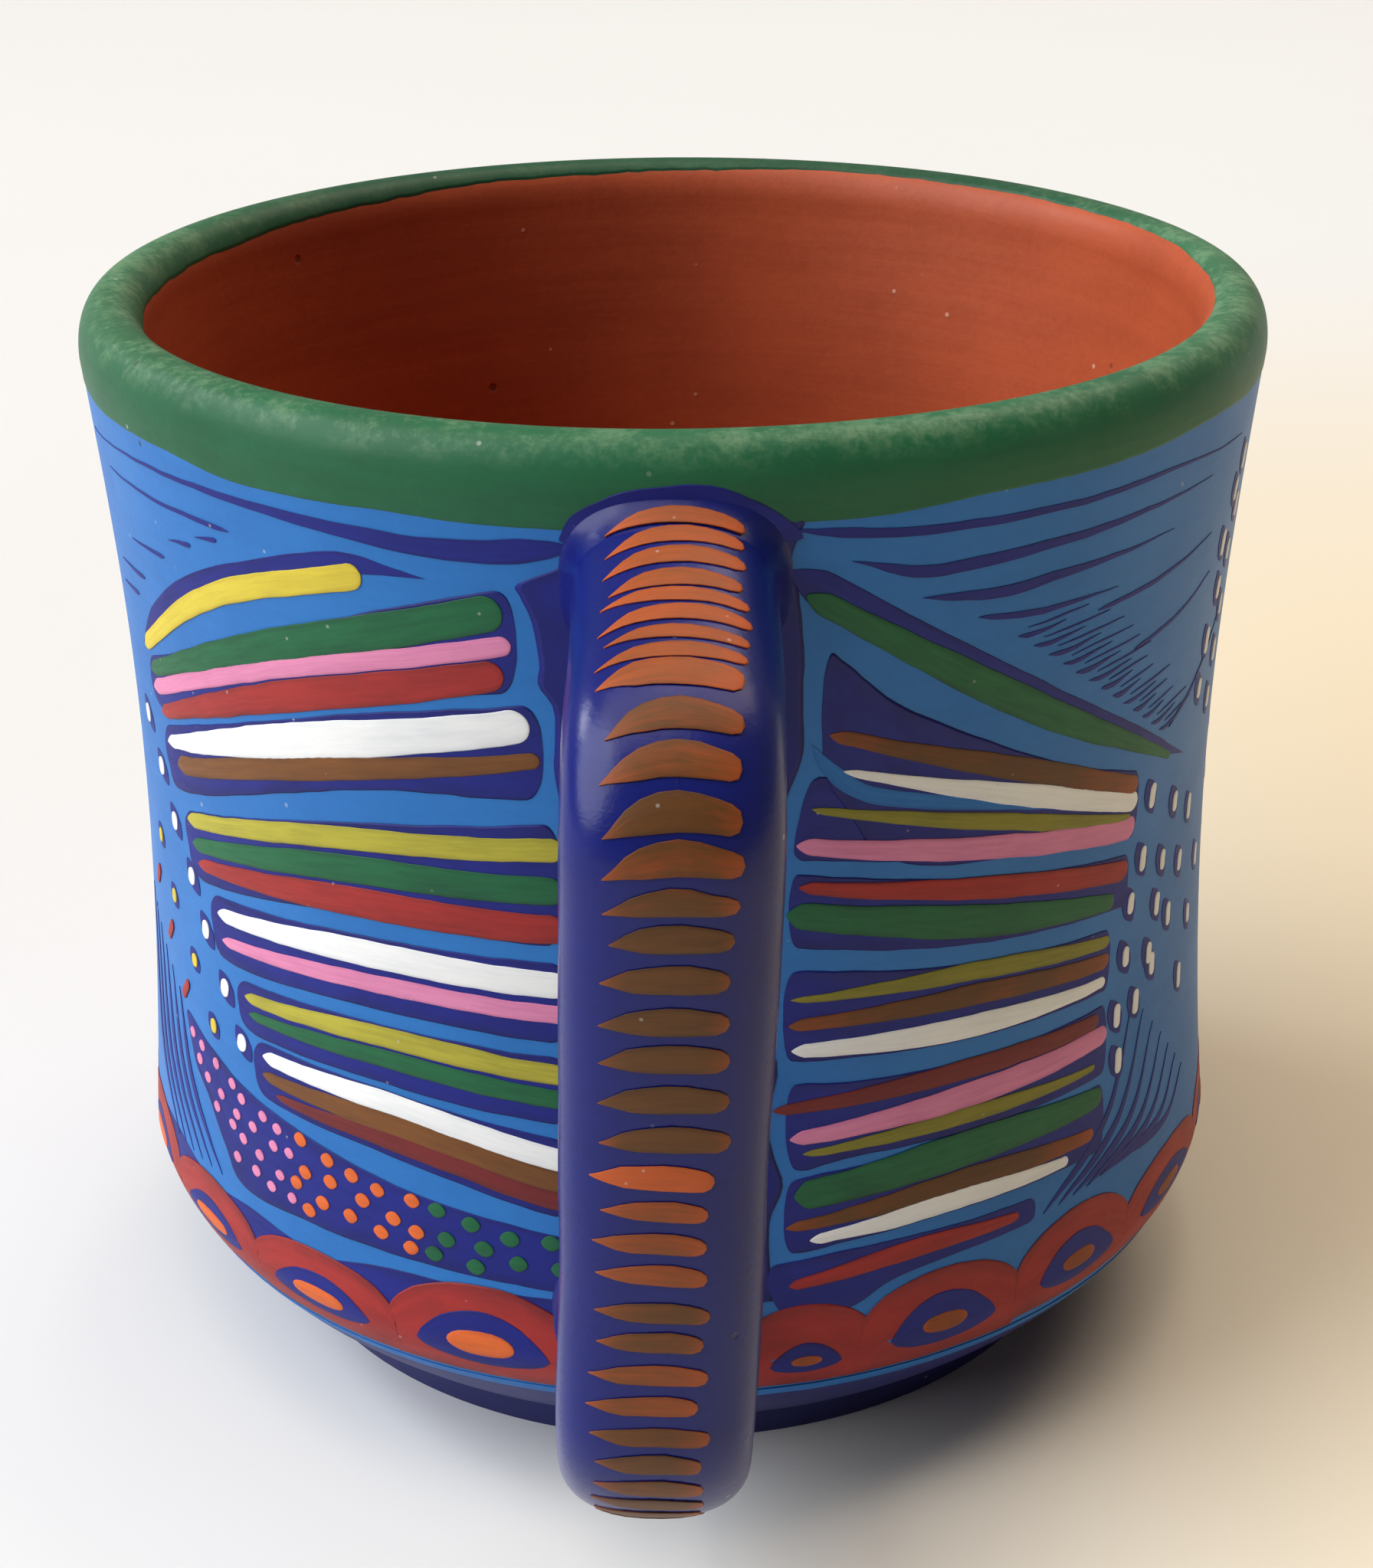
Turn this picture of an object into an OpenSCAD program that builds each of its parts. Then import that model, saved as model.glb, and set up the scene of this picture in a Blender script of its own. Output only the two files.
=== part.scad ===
// Hand-painted clay mug: a waisted cup on a low foot, with a strap handle
// luted to the wall just under the lip and on the belly.
// Millimetres. The origin is the middle of the flat base, +Z is up, and the
// handle points to -Y.

/* [Cup] */
// Outer diameter at the widest part of the rim
rim_d = 96; // [80:1:115]
// Overall height of the cup, from the table to the crest of the lip
cup_h = 89.5; // [75:0.5:107]
// Outer diameter at the waist
waist_d = 92.2; // [77:0.1:100]
// Outer diameter at the belly
belly_d = 96; // [86:1:115]
// Height of the widest part of the belly
belly_z = 16; // [13:0.5:20]
// Thickness of the clay wall
wall_t = 5.2; // [3.5:0.1:6.5]
// Thickness of the clay floor above the foot
floor_t = 5; // [4:0.5:8]
// Height of the rounded lip
lip_h = 3.9; // [3:0.1:5]
// Radius that joins the inner wall to the floor
inner_round_r = 15; // [10:1:18]

/* [Foot] */
// Diameter of the foot where it meets the table
foot_d = 74; // [62:1:80]
// Diameter of the foot where it meets the cup
foot_top_d = 76; // [62:1:82]
// Height of the foot
foot_h = 3; // [2:0.1:4.5]

/* [Handle] */
// How far the outer face of the handle stands out from the rim
handle_reach = 25.5; // [20:0.5:32]
// Width of the strap at its upper end
strap_top_w = 14; // [11:0.1:17]
// Width of the strap at its lower end
strap_low_w = 13.2; // [10.5:0.1:16.5]
// Thickness of the strap along its upright run
strap_t = 9.4; // [7.5:0.1:11.5]
// Thickness of the strap where it meets the wall
root_t = 11.4; // [9.5:0.1:13.5]
// How far the top of the handle lies below the crest of the lip, at the wall
handle_drop = 3.9; // [3:0.1:7]
// Slope of the upper arm, in degrees
arm_slope = 12; // [5:1:18]
// Height of the underside of the handle above the table
handle_low_z = 15.5; // [12:0.5:20]
// Inner radius of the upper bend
top_bend_r = 2.6; // [2:0.1:5]
// Inner radius of the lower bend
low_bend_r = 5.2; // [3:0.1:8]
// Sideways lean of the hand-set handle, in degrees
handle_lean = 1.9; // [0:0.1:4]

/* [Luting clay] */
// How far the clay spreads round the handle at the wall
luting_spread = 1.7; // [1:0.1:2.5]
// How far the clay runs out along the handle
luting_run = 3.6; // [2.5:0.1:5]
// Thickness of the clay at its feathered edge
luting_edge_t = 0.35; // [0.2:0.05:0.6]

/* [Hidden] */

// Shape shares, chosen by eye
// Roundness of the lower belly, where 1 is a straight cone
belly_round_share = 1.65;
// Squareness of the lip and of the strap's section, where 2 is an ellipse
lip_square_share = 2.3;
strap_square_share = 2.5;
// Shares of the handle's length over which the thick roots fade out
root_fade_share = 0.24;
low_root_fade_share = 0.16;

// Steps along each curve and round each shape
belly_steps = 10;
side_steps = 22;
lip_steps = 16;
round_steps = 12;
strap_sides = 28;
arm_steps = 4;
bend_steps = 9;
run_steps = 5;
luting_steps = 6;
turned_fn = 96;

// Derived sizes
rim_r = rim_d / 2;
waist_r = waist_d / 2;
belly_r = belly_d / 2;
foot_top_r = foot_top_d / 2;
lip_z = cup_h - lip_h;
floor_z = foot_h + floor_t;
inner_round_z = floor_z + inner_round_r;
waist_dip = (belly_r + rim_r) / 2 - waist_r;

// Power curve that squares an ellipse
function squared(v, share) = sign(v) * pow(abs(v), 2 / share);

function mix(a, b, s) = a + (b - a) * s;

function clamp01(v) = min(1, max(0, v));

// Outer radius of the cup at height z
function side_r(z) =
    let (s = clamp01((z - belly_z) / (lip_z - belly_z)))
    mix(belly_r, rim_r, s) - waist_dip * sin(180 * s);

function lower_r(z) =
    let (s = clamp01((z - foot_h) / (belly_z - foot_h)))
    mix(belly_r, foot_top_r, pow(1 - s, belly_round_share));

function cup_r(z) = z < belly_z ? lower_r(z) : side_r(z);

// Outline of the cup's outside, from the foot up to the start of the lip
outer_outline = concat(
    [for (i = [0 : belly_steps - 1])
        let (z = mix(foot_h, belly_z, i / belly_steps)) [lower_r(z), z]],
    [for (i = [0 : side_steps])
        let (z = mix(belly_z, lip_z, i / side_steps)) [side_r(z), z]]);

// Rounded crest of the lip, from the outside to the inside
lip_outline = [for (i = [1 : lip_steps - 1])
    let (a = 180 * i / lip_steps)
    [rim_r - wall_t / 2 + wall_t / 2 * squared(cos(a), lip_square_share),
     lip_z + lip_h * squared(sin(a), lip_square_share)]];

// Inner wall, from the lip down to where it rounds into the floor
inner_outline = [for (i = [0 : side_steps])
    let (z = mix(lip_z, inner_round_z, i / side_steps)) [cup_r(z) - wall_t, z]];

inner_round_outline = [for (i = [1 : round_steps])
    let (a = 90 * i / round_steps)
    [cup_r(inner_round_z) - wall_t - inner_round_r * (1 - cos(a)),
     inner_round_z - inner_round_r * sin(a)]];

// Centre line of the strap, seen from the side: [y, z, angle of the outward
// normal]. The bends are arcs that touch the straight runs.
top_bend_mid_r = top_bend_r + strap_t / 2;
low_bend_mid_r = low_bend_r + strap_t / 2;
upright_y = -(rim_r + handle_reach - strap_t / 2);
root_z = cup_h - handle_drop - root_t / 2;
root_y = -(cup_r(root_z) - wall_t / 2);
top_bend_y = upright_y + top_bend_mid_r;
top_bend_z = root_z - tan(arm_slope) * (root_y - top_bend_y)
    - top_bend_mid_r / cos(arm_slope);
low_arm_z = handle_low_z + strap_t / 2;
low_bend_y = upright_y + low_bend_mid_r;
low_bend_z = low_arm_z + low_bend_mid_r;
low_root_y = -(cup_r(low_arm_z) - wall_t / 2);

function arc_point(y, z, r, a) = [y + r * cos(a), z + r * sin(a), a];

top_bend_start = arc_point(top_bend_y, top_bend_z, top_bend_mid_r, 90 + arm_slope);
low_bend_end = arc_point(low_bend_y, low_bend_z, low_bend_mid_r, 270);

strap_path = concat(
    [for (i = [0 : arm_steps - 1])
        mix([root_y, root_z, 90 + arm_slope], top_bend_start, i / arm_steps)],
    [for (i = [0 : bend_steps])
        arc_point(top_bend_y, top_bend_z, top_bend_mid_r,
            mix(90 + arm_slope, 180, i / bend_steps))],
    [for (i = [1 : run_steps - 1])
        [upright_y, mix(top_bend_z, low_bend_z, i / run_steps), 180]],
    [for (i = [0 : bend_steps])
        arc_point(low_bend_y, low_bend_z, low_bend_mid_r,
            mix(180, 270, i / bend_steps))],
    [for (i = [1 : arm_steps])
        mix(low_bend_end, [low_root_y, low_arm_z, 270], i / arm_steps)]);

// Half sizes of the strap at a share s of the way along it
function strap_half_w(s) = mix(strap_top_w, strap_low_w, s) / 2;

function strap_half_t(s) =
    let (root_share = max(1 - s / root_fade_share, 1 - (1 - s) / low_root_fade_share, 0))
    mix(strap_t, root_t, root_share) / 2;

// One ring of points round the centre line, grown outward by extra
function ring(p, half_w, half_t, extra) =
    [for (i = [0 : strap_sides - 1])
        let (a = 360 * i / strap_sides,
             across = (half_w + extra) * squared(cos(a), strap_square_share),
             out = (half_t + extra) * squared(sin(a), strap_square_share))
        [across, p[0] + out * cos(p[2]), p[1] + out * sin(p[2])]];

// Closed tube through a list of rings
module tube(rings) {
    n = len(rings);
    m = len(rings[0]);
    polyhedron(
        points = [for (r = rings) each r],
        faces = concat(
            [[for (i = [0 : m - 1]) i]],
            [for (k = [0 : n - 2], i = [0 : m - 1])
                let (j = (i + 1) % m) [k * m + i, (k + 1) * m + i, (k + 1) * m + j]],
            [for (k = [0 : n - 2], i = [0 : m - 1])
                let (j = (i + 1) % m) [k * m + i, (k + 1) * m + j, k * m + j]],
            [[for (i = [m - 1 : -1 : 0]) (n - 1) * m + i]]));
}

// The handle leans about the middle of its upper root
module leaned() {
    translate([0, 0, root_z])
        rotate([0, handle_lean, 0])
            translate([0, 0, -root_z])
                children();
}

// The cup's outside with nothing hollowed out, to cut what is luted to it
module cup_envelope() {
    rotate_extrude($fn = turned_fn)
        polygon(concat([[0, foot_h]], outer_outline, lip_outline,
            [[rim_r - wall_t, lip_z], [0, lip_z]]));
}

module strap_solid() {
    last = len(strap_path) - 1;
    leaned()
        tube([for (k = [0 : last])
            ring(strap_path[k], strap_half_w(k / last), strap_half_t(k / last), 0)]);
}

// Fillet of clay round a root. The path starts at the wall's middle and runs
// out along the strap by the wall's half thickness and the clay's own run.
module luting_solid(start, run_slope, s) {
    reach = wall_t / 2 + luting_run;
    leaned()
        tube([for (i = [0 : luting_steps])
            let (d = reach * i / luting_steps,
                 fade = 1 - clamp01((d - wall_t / 2) / luting_run),
                 p = [start[0] - d * cos(run_slope), start[1] - d * sin(run_slope), start[2]])
            ring(p, strap_half_w(s), root_t / 2,
                luting_edge_t + (luting_spread - luting_edge_t) * fade * fade)]);
}

module cup_body() {
    color([0.25, 0.47, 0.76])
        rotate_extrude($fn = turned_fn)
            polygon(concat([[0, foot_h]], outer_outline, lip_outline, inner_outline,
                inner_round_outline, [[0, floor_z]]));
}

module foot() {
    color([0.1, 0.1, 0.32])
        cylinder(h = foot_h, d1 = foot_d, d2 = foot_top_d, $fn = turned_fn);
}

module handle() {
    color([0.17, 0.17, 0.55])
        difference() {
            strap_solid();
            cup_envelope();
        }
}

module upper_luting_clay() {
    color([0.14, 0.14, 0.5])
        difference() {
            luting_solid([root_y, root_z, 90 + arm_slope], arm_slope, 0);
            cup_envelope();
            strap_solid();
        }
}

module lower_luting_clay() {
    color([0.14, 0.14, 0.45])
        difference() {
            luting_solid([low_root_y, low_arm_z, 90], 0, 1);
            cup_envelope();
            strap_solid();
        }
}

cup_body();
foot();
handle();
upper_luting_clay();
lower_luting_clay();
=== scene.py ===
"""Looks of a hand-painted clay mug: a thrown wall, coats and strokes of paint, and a strap handle.

The clay and the coats grow from Geometry Nodes trees. Every stroke of paint is drawn flat,
in metres round and up the wall, and a tree then lays it on the clay.
"""

import math
import random
from collections import defaultdict

import bpy
from mathutils import Matrix, Vector


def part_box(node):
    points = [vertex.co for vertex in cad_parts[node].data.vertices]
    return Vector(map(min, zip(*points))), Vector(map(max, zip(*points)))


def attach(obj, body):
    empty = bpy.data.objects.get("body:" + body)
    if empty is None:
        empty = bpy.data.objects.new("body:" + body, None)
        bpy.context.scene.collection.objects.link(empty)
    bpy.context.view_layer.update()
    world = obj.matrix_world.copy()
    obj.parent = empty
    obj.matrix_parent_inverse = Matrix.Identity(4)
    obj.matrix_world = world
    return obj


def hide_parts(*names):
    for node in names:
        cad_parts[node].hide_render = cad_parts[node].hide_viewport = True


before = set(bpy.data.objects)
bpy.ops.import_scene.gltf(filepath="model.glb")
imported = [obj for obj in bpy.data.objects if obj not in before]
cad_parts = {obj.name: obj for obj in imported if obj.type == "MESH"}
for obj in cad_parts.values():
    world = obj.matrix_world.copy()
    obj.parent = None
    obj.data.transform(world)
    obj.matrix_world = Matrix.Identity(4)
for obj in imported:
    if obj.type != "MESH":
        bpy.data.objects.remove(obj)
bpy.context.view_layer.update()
scene = bpy.context.scene
chance = random.Random(11)

MM = 0.001

# Sizes of the clay that the solids give
CUP_LOW, CUP_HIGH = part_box("cup_body")
CUP_H = CUP_HIGH.z
FOOT_H = CUP_LOW.z
STRAP_FAR_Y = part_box("handle")[0].y
STRAP_LOW_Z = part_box("handle")[0].z

# Sizes of the clay that a box can't give, the same as the solids have
RIM_R = 48 * MM
WAIST_R = 46.1 * MM
BELLY_R = 48 * MM
BELLY_Z = 16 * MM
FOOT_TOP_R = 38 * MM
BELLY_ROUND = 1.65
WALL_T = 5.2 * MM
FLOOR_Z = FOOT_H + 5 * MM
LIP_H = 3.9 * MM
LIP_Z = CUP_H - LIP_H
INNER_ROUND_R = 15 * MM
LIP_SQUARENESS = 2.3

STRAP_TOP_W = 14 * MM
STRAP_LOW_W = 13.2 * MM
STRAP_T = 9.4 * MM
ROOT_T = 11.4 * MM
HANDLE_DROP = 3.9 * MM
ARM_SLOPE = math.radians(12)
TOP_BEND_R = 2.6 * MM + STRAP_T / 2
LOW_BEND_R = 5.2 * MM + STRAP_T / 2
HANDLE_LEAN = math.radians(1.9)
STRAP_SQUARENESS = 2.5
UPPER_FADE = 20 * MM
LOWER_FADE = 15.5 * MM
LUTING_SPREAD = 1.7 * MM
LUTING_RUN = 3.6 * MM
LUTING_BURIED = 0.35 * MM
# Where the clay's upper face leaves the wall, as a length along the strap
LUTING_FACE = 2 * MM

# Length of the outline over the crest of the lip, and the radius at which the flat
# drawing is as wide as the wall
LIP_RUN = 10 * MM
FLAT_R = 47 * MM

# Heights above the bare clay at which each kind of paint ends
COAT_LIFT = 0.025 * MM
GAP_LIFT = 0.04 * MM
FIELD_LIFT = 0.055 * MM
LINE_LIFT = 0.074 * MM
BAR_LIFT = 0.093 * MM
DOT_LIFT = 0.108 * MM
# The most that a stroke swells above that, and how far all paint reaches into the clay
DOME_LIMIT = 0.06 * MM
PAINT_SINK = 0.05 * MM

# How far a brush held by hand strays, how uneven a pulled strap is, what share of its radius
# a thrown wall wobbles, and how close together the changes of each come
BRUSH_WAVER = 0.3 * MM
BRUSH_WAVER_SCALE = 330.0
UNEVENNESS = 0.9 * MM
UNEVEN_SCALE = 45.0
HAND_WOBBLE = 0.0035
WOBBLE_SCALE = 28.0
# How far round from the handle the rim's green band comes down lowest
FRONT_DIP_TURN = 0.35

# Faces round and along the pieces that a tree makes
WALL_COLUMNS = 256
SIDE_ROWS = 110
LIP_ROWS = 28
INNER_ROWS = 60
ROUND_ROWS = 20
FLAT_ROWS = 8
COAT_ROWS = 120
STRAP_COLUMNS = 72
STRAP_ROWS = 220
COLLAR_ROWS = 30
BEND_STEPS = 24
MERGE_DISTANCE = 1e-6


# Node trees, written as sums

class Field:
    """The output of a node, which takes part in sums like a number."""

    def __init__(self, socket):
        self.socket = socket

    def __neg__(self):
        return self * -1


def maths(operation, *terms):
    """A Math node on terms that are fields or numbers."""
    tree = next(term.socket.id_data for term in terms if isinstance(term, Field))
    node = tree.nodes.new("ShaderNodeMath")
    node.operation = operation
    for socket, term in zip(node.inputs, terms):
        feed(socket, term)
    return Field(node.outputs[0])


def add_operator(name, operation):
    setattr(Field, f"__{name}__", lambda a, b: maths(operation, a, b))
    setattr(Field, f"__r{name}__", lambda a, b: maths(operation, b, a))


for operator_name, operation_name in (
    ("add", "ADD"), ("sub", "SUBTRACT"), ("mul", "MULTIPLY"), ("truediv", "DIVIDE"), ("pow", "POWER"),
):
    add_operator(operator_name, operation_name)


def feed(socket, value):
    """Links a field to a socket, or sets the socket's own value."""
    if isinstance(value, Field):
        socket.id_data.links.new(value.socket, socket)
    else:
        socket.default_value = value


def pick(sockets, key):
    """A socket by its place, or the one in use that has this name."""
    if isinstance(key, int):
        return sockets[key]
    return next(socket for socket in sockets if socket.name == key and socket.enabled)


def add_node(tree, kind, inputs, **settings):
    node = tree.nodes.new(kind)
    for name, value in settings.items():
        setattr(node, name, value)
    for key, value in inputs.items():
        feed(pick(node.inputs, key), value)
    return node


def field(tree, kind, inputs, output=0, **settings):
    """Adds a node and gives one of its outputs."""
    return Field(pick(add_node(tree, kind, inputs, **settings).outputs, output))


def vector(tree, x, y, z):
    return field(tree, "ShaderNodeCombineXYZ", {0: x, 1: y, 2: z})


def split(tree, value):
    node = add_node(tree, "ShaderNodeSeparateXYZ", {0: value})
    return [Field(output) for output in node.outputs]


def vector_maths(tree, operation, a, b):
    return field(tree, "ShaderNodeVectorMath", {0: a, 1: b}, operation=operation)


def scaled(tree, value, factor):
    return field(tree, "ShaderNodeVectorMath", {0: value, "Scale": factor}, operation="SCALE")


def noise(tree, place, scale, detail=2.0, roughness=0.5):
    inputs = {"Vector": place, "Scale": scale, "Detail": detail, "Roughness": roughness}
    return field(tree, "ShaderNodeTexNoise", inputs)


def noise_vector(tree, place, scale, detail):
    """Three noises at once, as the parts of a vector."""
    inputs = {"Vector": place, "Scale": scale, "Detail": detail}
    return field(tree, "ShaderNodeTexNoise", inputs, "Color")


def sine(value):
    return maths("SINE", value)


def cosine(value):
    return maths("COSINE", value)


def clamp01(value):
    return maths("MAXIMUM", maths("MINIMUM", value, 1.0), 0.0)


def mix(a, b, share):
    return a + (b - a) * share


def squared(value, squareness):
    """Power curve that squares an ellipse."""
    return maths("SIGN", value) * maths("ABSOLUTE", value) ** (2 / squareness)


def new_tree(name, sizes):
    """A geometry tree with a named input for each size, and the fields that these give."""
    tree = bpy.data.node_groups.new(name, "GeometryNodeTree")
    tree.interface.new_socket("Geometry", in_out="INPUT", socket_type="NodeSocketGeometry")
    for size, value in sizes.items():
        socket = tree.interface.new_socket(size, in_out="INPUT", socket_type="NodeSocketFloat")
        socket.default_value = value
    tree.interface.new_socket("Paint", in_out="INPUT", socket_type="NodeSocketMaterial")
    tree.interface.new_socket("Geometry", in_out="OUTPUT", socket_type="NodeSocketGeometry")
    source = tree.nodes.new("NodeGroupInput")
    return tree, {output.name: Field(output) for output in source.outputs if output.name}


def finish_tree(tree, given, geometry, merge=True):
    """Closes the seams, makes the result real and gives it its material."""
    if merge:
        doubles = {"Geometry": geometry, "Distance": MERGE_DISTANCE}
        geometry = field(tree, "GeometryNodeMergeByDistance", doubles)
    geometry = field(tree, "GeometryNodeSetShadeSmooth", {"Geometry": geometry})
    geometry = field(tree, "GeometryNodeRealizeInstances", {"Geometry": geometry})
    geometry = field(tree, "GeometryNodeSetMaterial", {"Geometry": geometry, "Material": given["Paint"]})
    sink = tree.nodes.new("NodeGroupOutput")
    feed(sink.inputs[0], geometry)
    return tree


def moved_to(tree, geometry, place):
    return field(tree, "GeometryNodeSetPosition", {"Geometry": geometry, "Position": place})


def lay_on_clay(tree, given, place):
    """Ends a tree that moves the points of a flat drawing to their places on the clay."""
    return finish_tree(tree, given, moved_to(tree, given["Geometry"], place), merge=False)


def add_object(name, data):
    made = bpy.data.objects.new(name, data)
    scene.collection.objects.link(made)
    return made


def grow(name, tree, values, data=None):
    """Runs a tree on some mesh, or on nothing, and keeps what it makes as a plain mesh."""
    raw = add_object(name + "_raw", data or bpy.data.meshes.new(name + "_raw"))
    modifier = raw.modifiers.new("shape", "NODES")
    modifier.node_group = tree
    for item in tree.interface.items_tree:
        if item.in_out == "INPUT" and item.name in values:
            modifier[item.identifier] = values[item.name]
    bpy.context.view_layer.update()
    evaluated = raw.evaluated_get(bpy.context.evaluated_depsgraph_get())
    mesh = bpy.data.meshes.new_from_object(evaluated)
    raw.modifiers.remove(modifier)
    bpy.data.objects.remove(raw)
    mesh.name = name
    return add_object(name, mesh)


def settle(piece, slot, replaces=()):
    """Fastens a finished piece to the mug."""
    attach(piece, "root")
    if replaces:
        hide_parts(*replaces)


# Clay

CUP_SIZES = {
    "Rim radius": RIM_R,
    "Belly radius": BELLY_R,
    "Belly height": BELLY_Z,
    "Waist dip": (RIM_R + BELLY_R) / 2 - WAIST_R,
    "Foot radius": FOOT_TOP_R,
    "Foot height": FOOT_H,
    "Lip start": LIP_Z,
    "Lip height": LIP_H,
    "Lip run": LIP_RUN,
    "Wall thickness": WALL_T,
    "Hand wobble": HAND_WOBBLE,
}


def wall_radius(given, height):
    """Outer radius of the clay at a height."""
    up_side = clamp01((height - given["Belly height"]) / (given["Lip start"] - given["Belly height"]))
    side = mix(given["Belly radius"], given["Rim radius"], up_side)
    side = side - given["Waist dip"] * sine(up_side * math.pi)
    up_belly = clamp01((height - given["Foot height"]) / (given["Belly height"] - given["Foot height"]))
    fall = (1 - up_belly) ** BELLY_ROUND
    return side - (given["Belly radius"] - given["Foot radius"]) * fall


def outline(given, run, lift):
    """Radius and height at a run up the outside, over the lip and down the inside."""
    past_lip = maths("MAXIMUM", run - given["Lip start"] - given["Lip run"], 0.0)
    height = maths("MINIMUM", run, given["Lip start"]) - past_lip
    turn = clamp01((run - given["Lip start"]) / given["Lip run"]) * math.pi
    half = given["Wall thickness"] / 2
    radius = wall_radius(given, height) - half + (half + lift) * squared(cosine(turn), LIP_SQUARENESS)
    return radius, height + (given["Lip height"] + lift) * squared(sine(turn), LIP_SQUARENESS)


def round_the_axis(tree, given, angle, radius, height):
    """A place on the mug, with the slight wobble of a wall thrown by hand."""
    place = vector(tree, radius * sine(angle), radius * cosine(angle) * -1, height)
    wobble = (noise(tree, place, WOBBLE_SCALE, 1.0) - 0.5) * given["Hand wobble"] * 2 + 1
    return vector(tree, radius * wobble * sine(angle), radius * wobble * cosine(angle) * -1, height)


def patch(tree, columns, rows, place, flip=False):
    """A sheet once round the axis, whose place is worked out from its angle and share of the way up."""
    grid = field(tree, "GeometryNodeMeshGrid", {
        "Size X": 2 * math.pi, "Size Y": 1.0, "Vertices X": columns + 1, "Vertices Y": rows + 1,
    })
    angle, share, _ = split(tree, field(tree, "GeometryNodeInputPosition", {}))
    moved = moved_to(tree, grid, place(angle, share + 0.5))
    return field(tree, "GeometryNodeFlipFaces", {0: moved}) if flip else moved


def join(tree, parts):
    node = tree.nodes.new("GeometryNodeJoinGeometry")
    for part in reversed(parts):
        tree.links.new(part.socket, node.inputs[0])
    return Field(node.outputs[0])


def cup_wall_tree():
    """The whole clay cup: outside, lip, inside, rounded floor and underside, as one closed skin."""
    tree, given = new_tree("cup wall", CUP_SIZES | {
        "Floor height": FLOOR_Z,
        "Inner round": INNER_ROUND_R,
    })
    inner_round_z = given["Floor height"] + given["Inner round"]
    inner_end = given["Lip start"] * 2 + given["Lip run"] - inner_round_z
    inner_r = wall_radius(given, inner_round_z) - given["Wall thickness"]
    lip_end = given["Lip start"] + given["Lip run"]

    def along(start, end):
        def place(angle, share):
            return round_the_axis(tree, given, angle, *outline(given, mix(start, end, share), 0.0))
        return place

    def rounded_floor(angle, share):
        turn = share * (math.pi / 2)
        radius = inner_r - given["Inner round"] * (1 - cosine(turn))
        return round_the_axis(tree, given, angle, radius, inner_round_z - given["Inner round"] * sine(turn))

    def floor(angle, share):
        radius = (inner_r - given["Inner round"]) * (1 - share)
        return round_the_axis(tree, given, angle, radius, given["Floor height"])

    def underside(angle, share):
        return round_the_axis(tree, given, angle, given["Foot radius"] * share, given["Foot height"])

    parts = [
        patch(tree, WALL_COLUMNS, FLAT_ROWS, underside),
        patch(tree, WALL_COLUMNS, SIDE_ROWS, along(given["Foot height"], given["Lip start"])),
        patch(tree, WALL_COLUMNS, LIP_ROWS, along(given["Lip start"], lip_end)),
        patch(tree, WALL_COLUMNS, INNER_ROWS, along(lip_end, inner_end)),
        patch(tree, WALL_COLUMNS, ROUND_ROWS, rounded_floor),
        patch(tree, WALL_COLUMNS, FLAT_ROWS, floor),
    ]
    return finish_tree(tree, given, join(tree, parts))


def coat_tree():
    """A coat of paint all the way round, between two runs of the outline with hand-painted edges."""
    tree, given = new_tree("coat", CUP_SIZES | {
        "Lower edge": 0.0,
        "Upper edge": 0.0,
        "Lower waver": 0.0,
        "Upper waver": 0.0,
        "Front dip": 0.0,
        "Deeper on the left": 0.0,
        "Shallower behind": 0.0,
        "Thickness": COAT_LIFT,
        "Sink": PAINT_SINK,
    })

    def sheet(top):
        def place(angle, share):
            ring = vector(tree, sine(angle), cosine(angle), 0.0)
            slow = noise(tree, ring, 2.6, 1.0) - 0.5
            quick = noise(tree, ring, 24.0, 2.0) - 0.5
            front = (cosine(angle + FRONT_DIP_TURN) / 2 + 0.5) ** 6
            low = given["Lower edge"] + (slow + quick * 0.12) * given["Lower waver"]
            low = low - front * given["Front dip"]
            high = given["Upper edge"] + (quick * 0.5 - slow) * given["Upper waver"]
            high = high - sine(angle) * given["Deeper on the left"]
            high = high - (0.5 - cosine(angle) / 2) ** 3 * given["Shallower behind"]
            edge = clamp01(maths("MINIMUM", share, 1 - share) * (high - low) / (given["Thickness"] * 4))
            lift = mix(-given["Sink"], given["Thickness"], edge if top else edge * 0)
            return round_the_axis(tree, given, angle, *outline(given, mix(low, high, share), lift))
        return place

    top = patch(tree, WALL_COLUMNS, COAT_ROWS, sheet(True))
    back = patch(tree, WALL_COLUMNS, COAT_ROWS, sheet(False), True)
    return finish_tree(tree, given, join(tree, [top, back]))


def hand_drawn(tree, given):
    """The place of each flat point, shifted a little as a brush held by hand shifts."""
    place = field(tree, "GeometryNodeInputPosition", {})
    jitter = noise_vector(tree, place, BRUSH_WAVER_SCALE, 2.0)
    x, y, lift = split(tree, place)
    shift_x, shift_y, _ = split(tree, jitter)
    return x + (shift_x - 0.5) * given["Brush waver"], y + (shift_y - 0.5) * given["Brush waver"], lift


def wrap_on_wall_tree():
    """Lays a flat drawing on the wall: across is the way round, up is the run up the outline."""
    tree, given = new_tree("wrap on wall", CUP_SIZES | {"Flat radius": FLAT_R, "Brush waver": BRUSH_WAVER})
    x, run, lift = hand_drawn(tree, given)
    place = round_the_axis(tree, given, x / given["Flat radius"], *outline(given, run, lift))
    return lay_on_clay(tree, given, place)


# Handle

STRAP_SIZES = {
    "Top width": STRAP_TOP_W,
    "Low width": STRAP_LOW_W,
    "Strap thickness": STRAP_T,
    "Root thickness": ROOT_T,
    "Upper fade": UPPER_FADE,
    "Lower fade": LOWER_FADE,
    "Lean": HANDLE_LEAN,
    "Root height": CUP_H - HANDLE_DROP - ROOT_T / 2,
}


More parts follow.
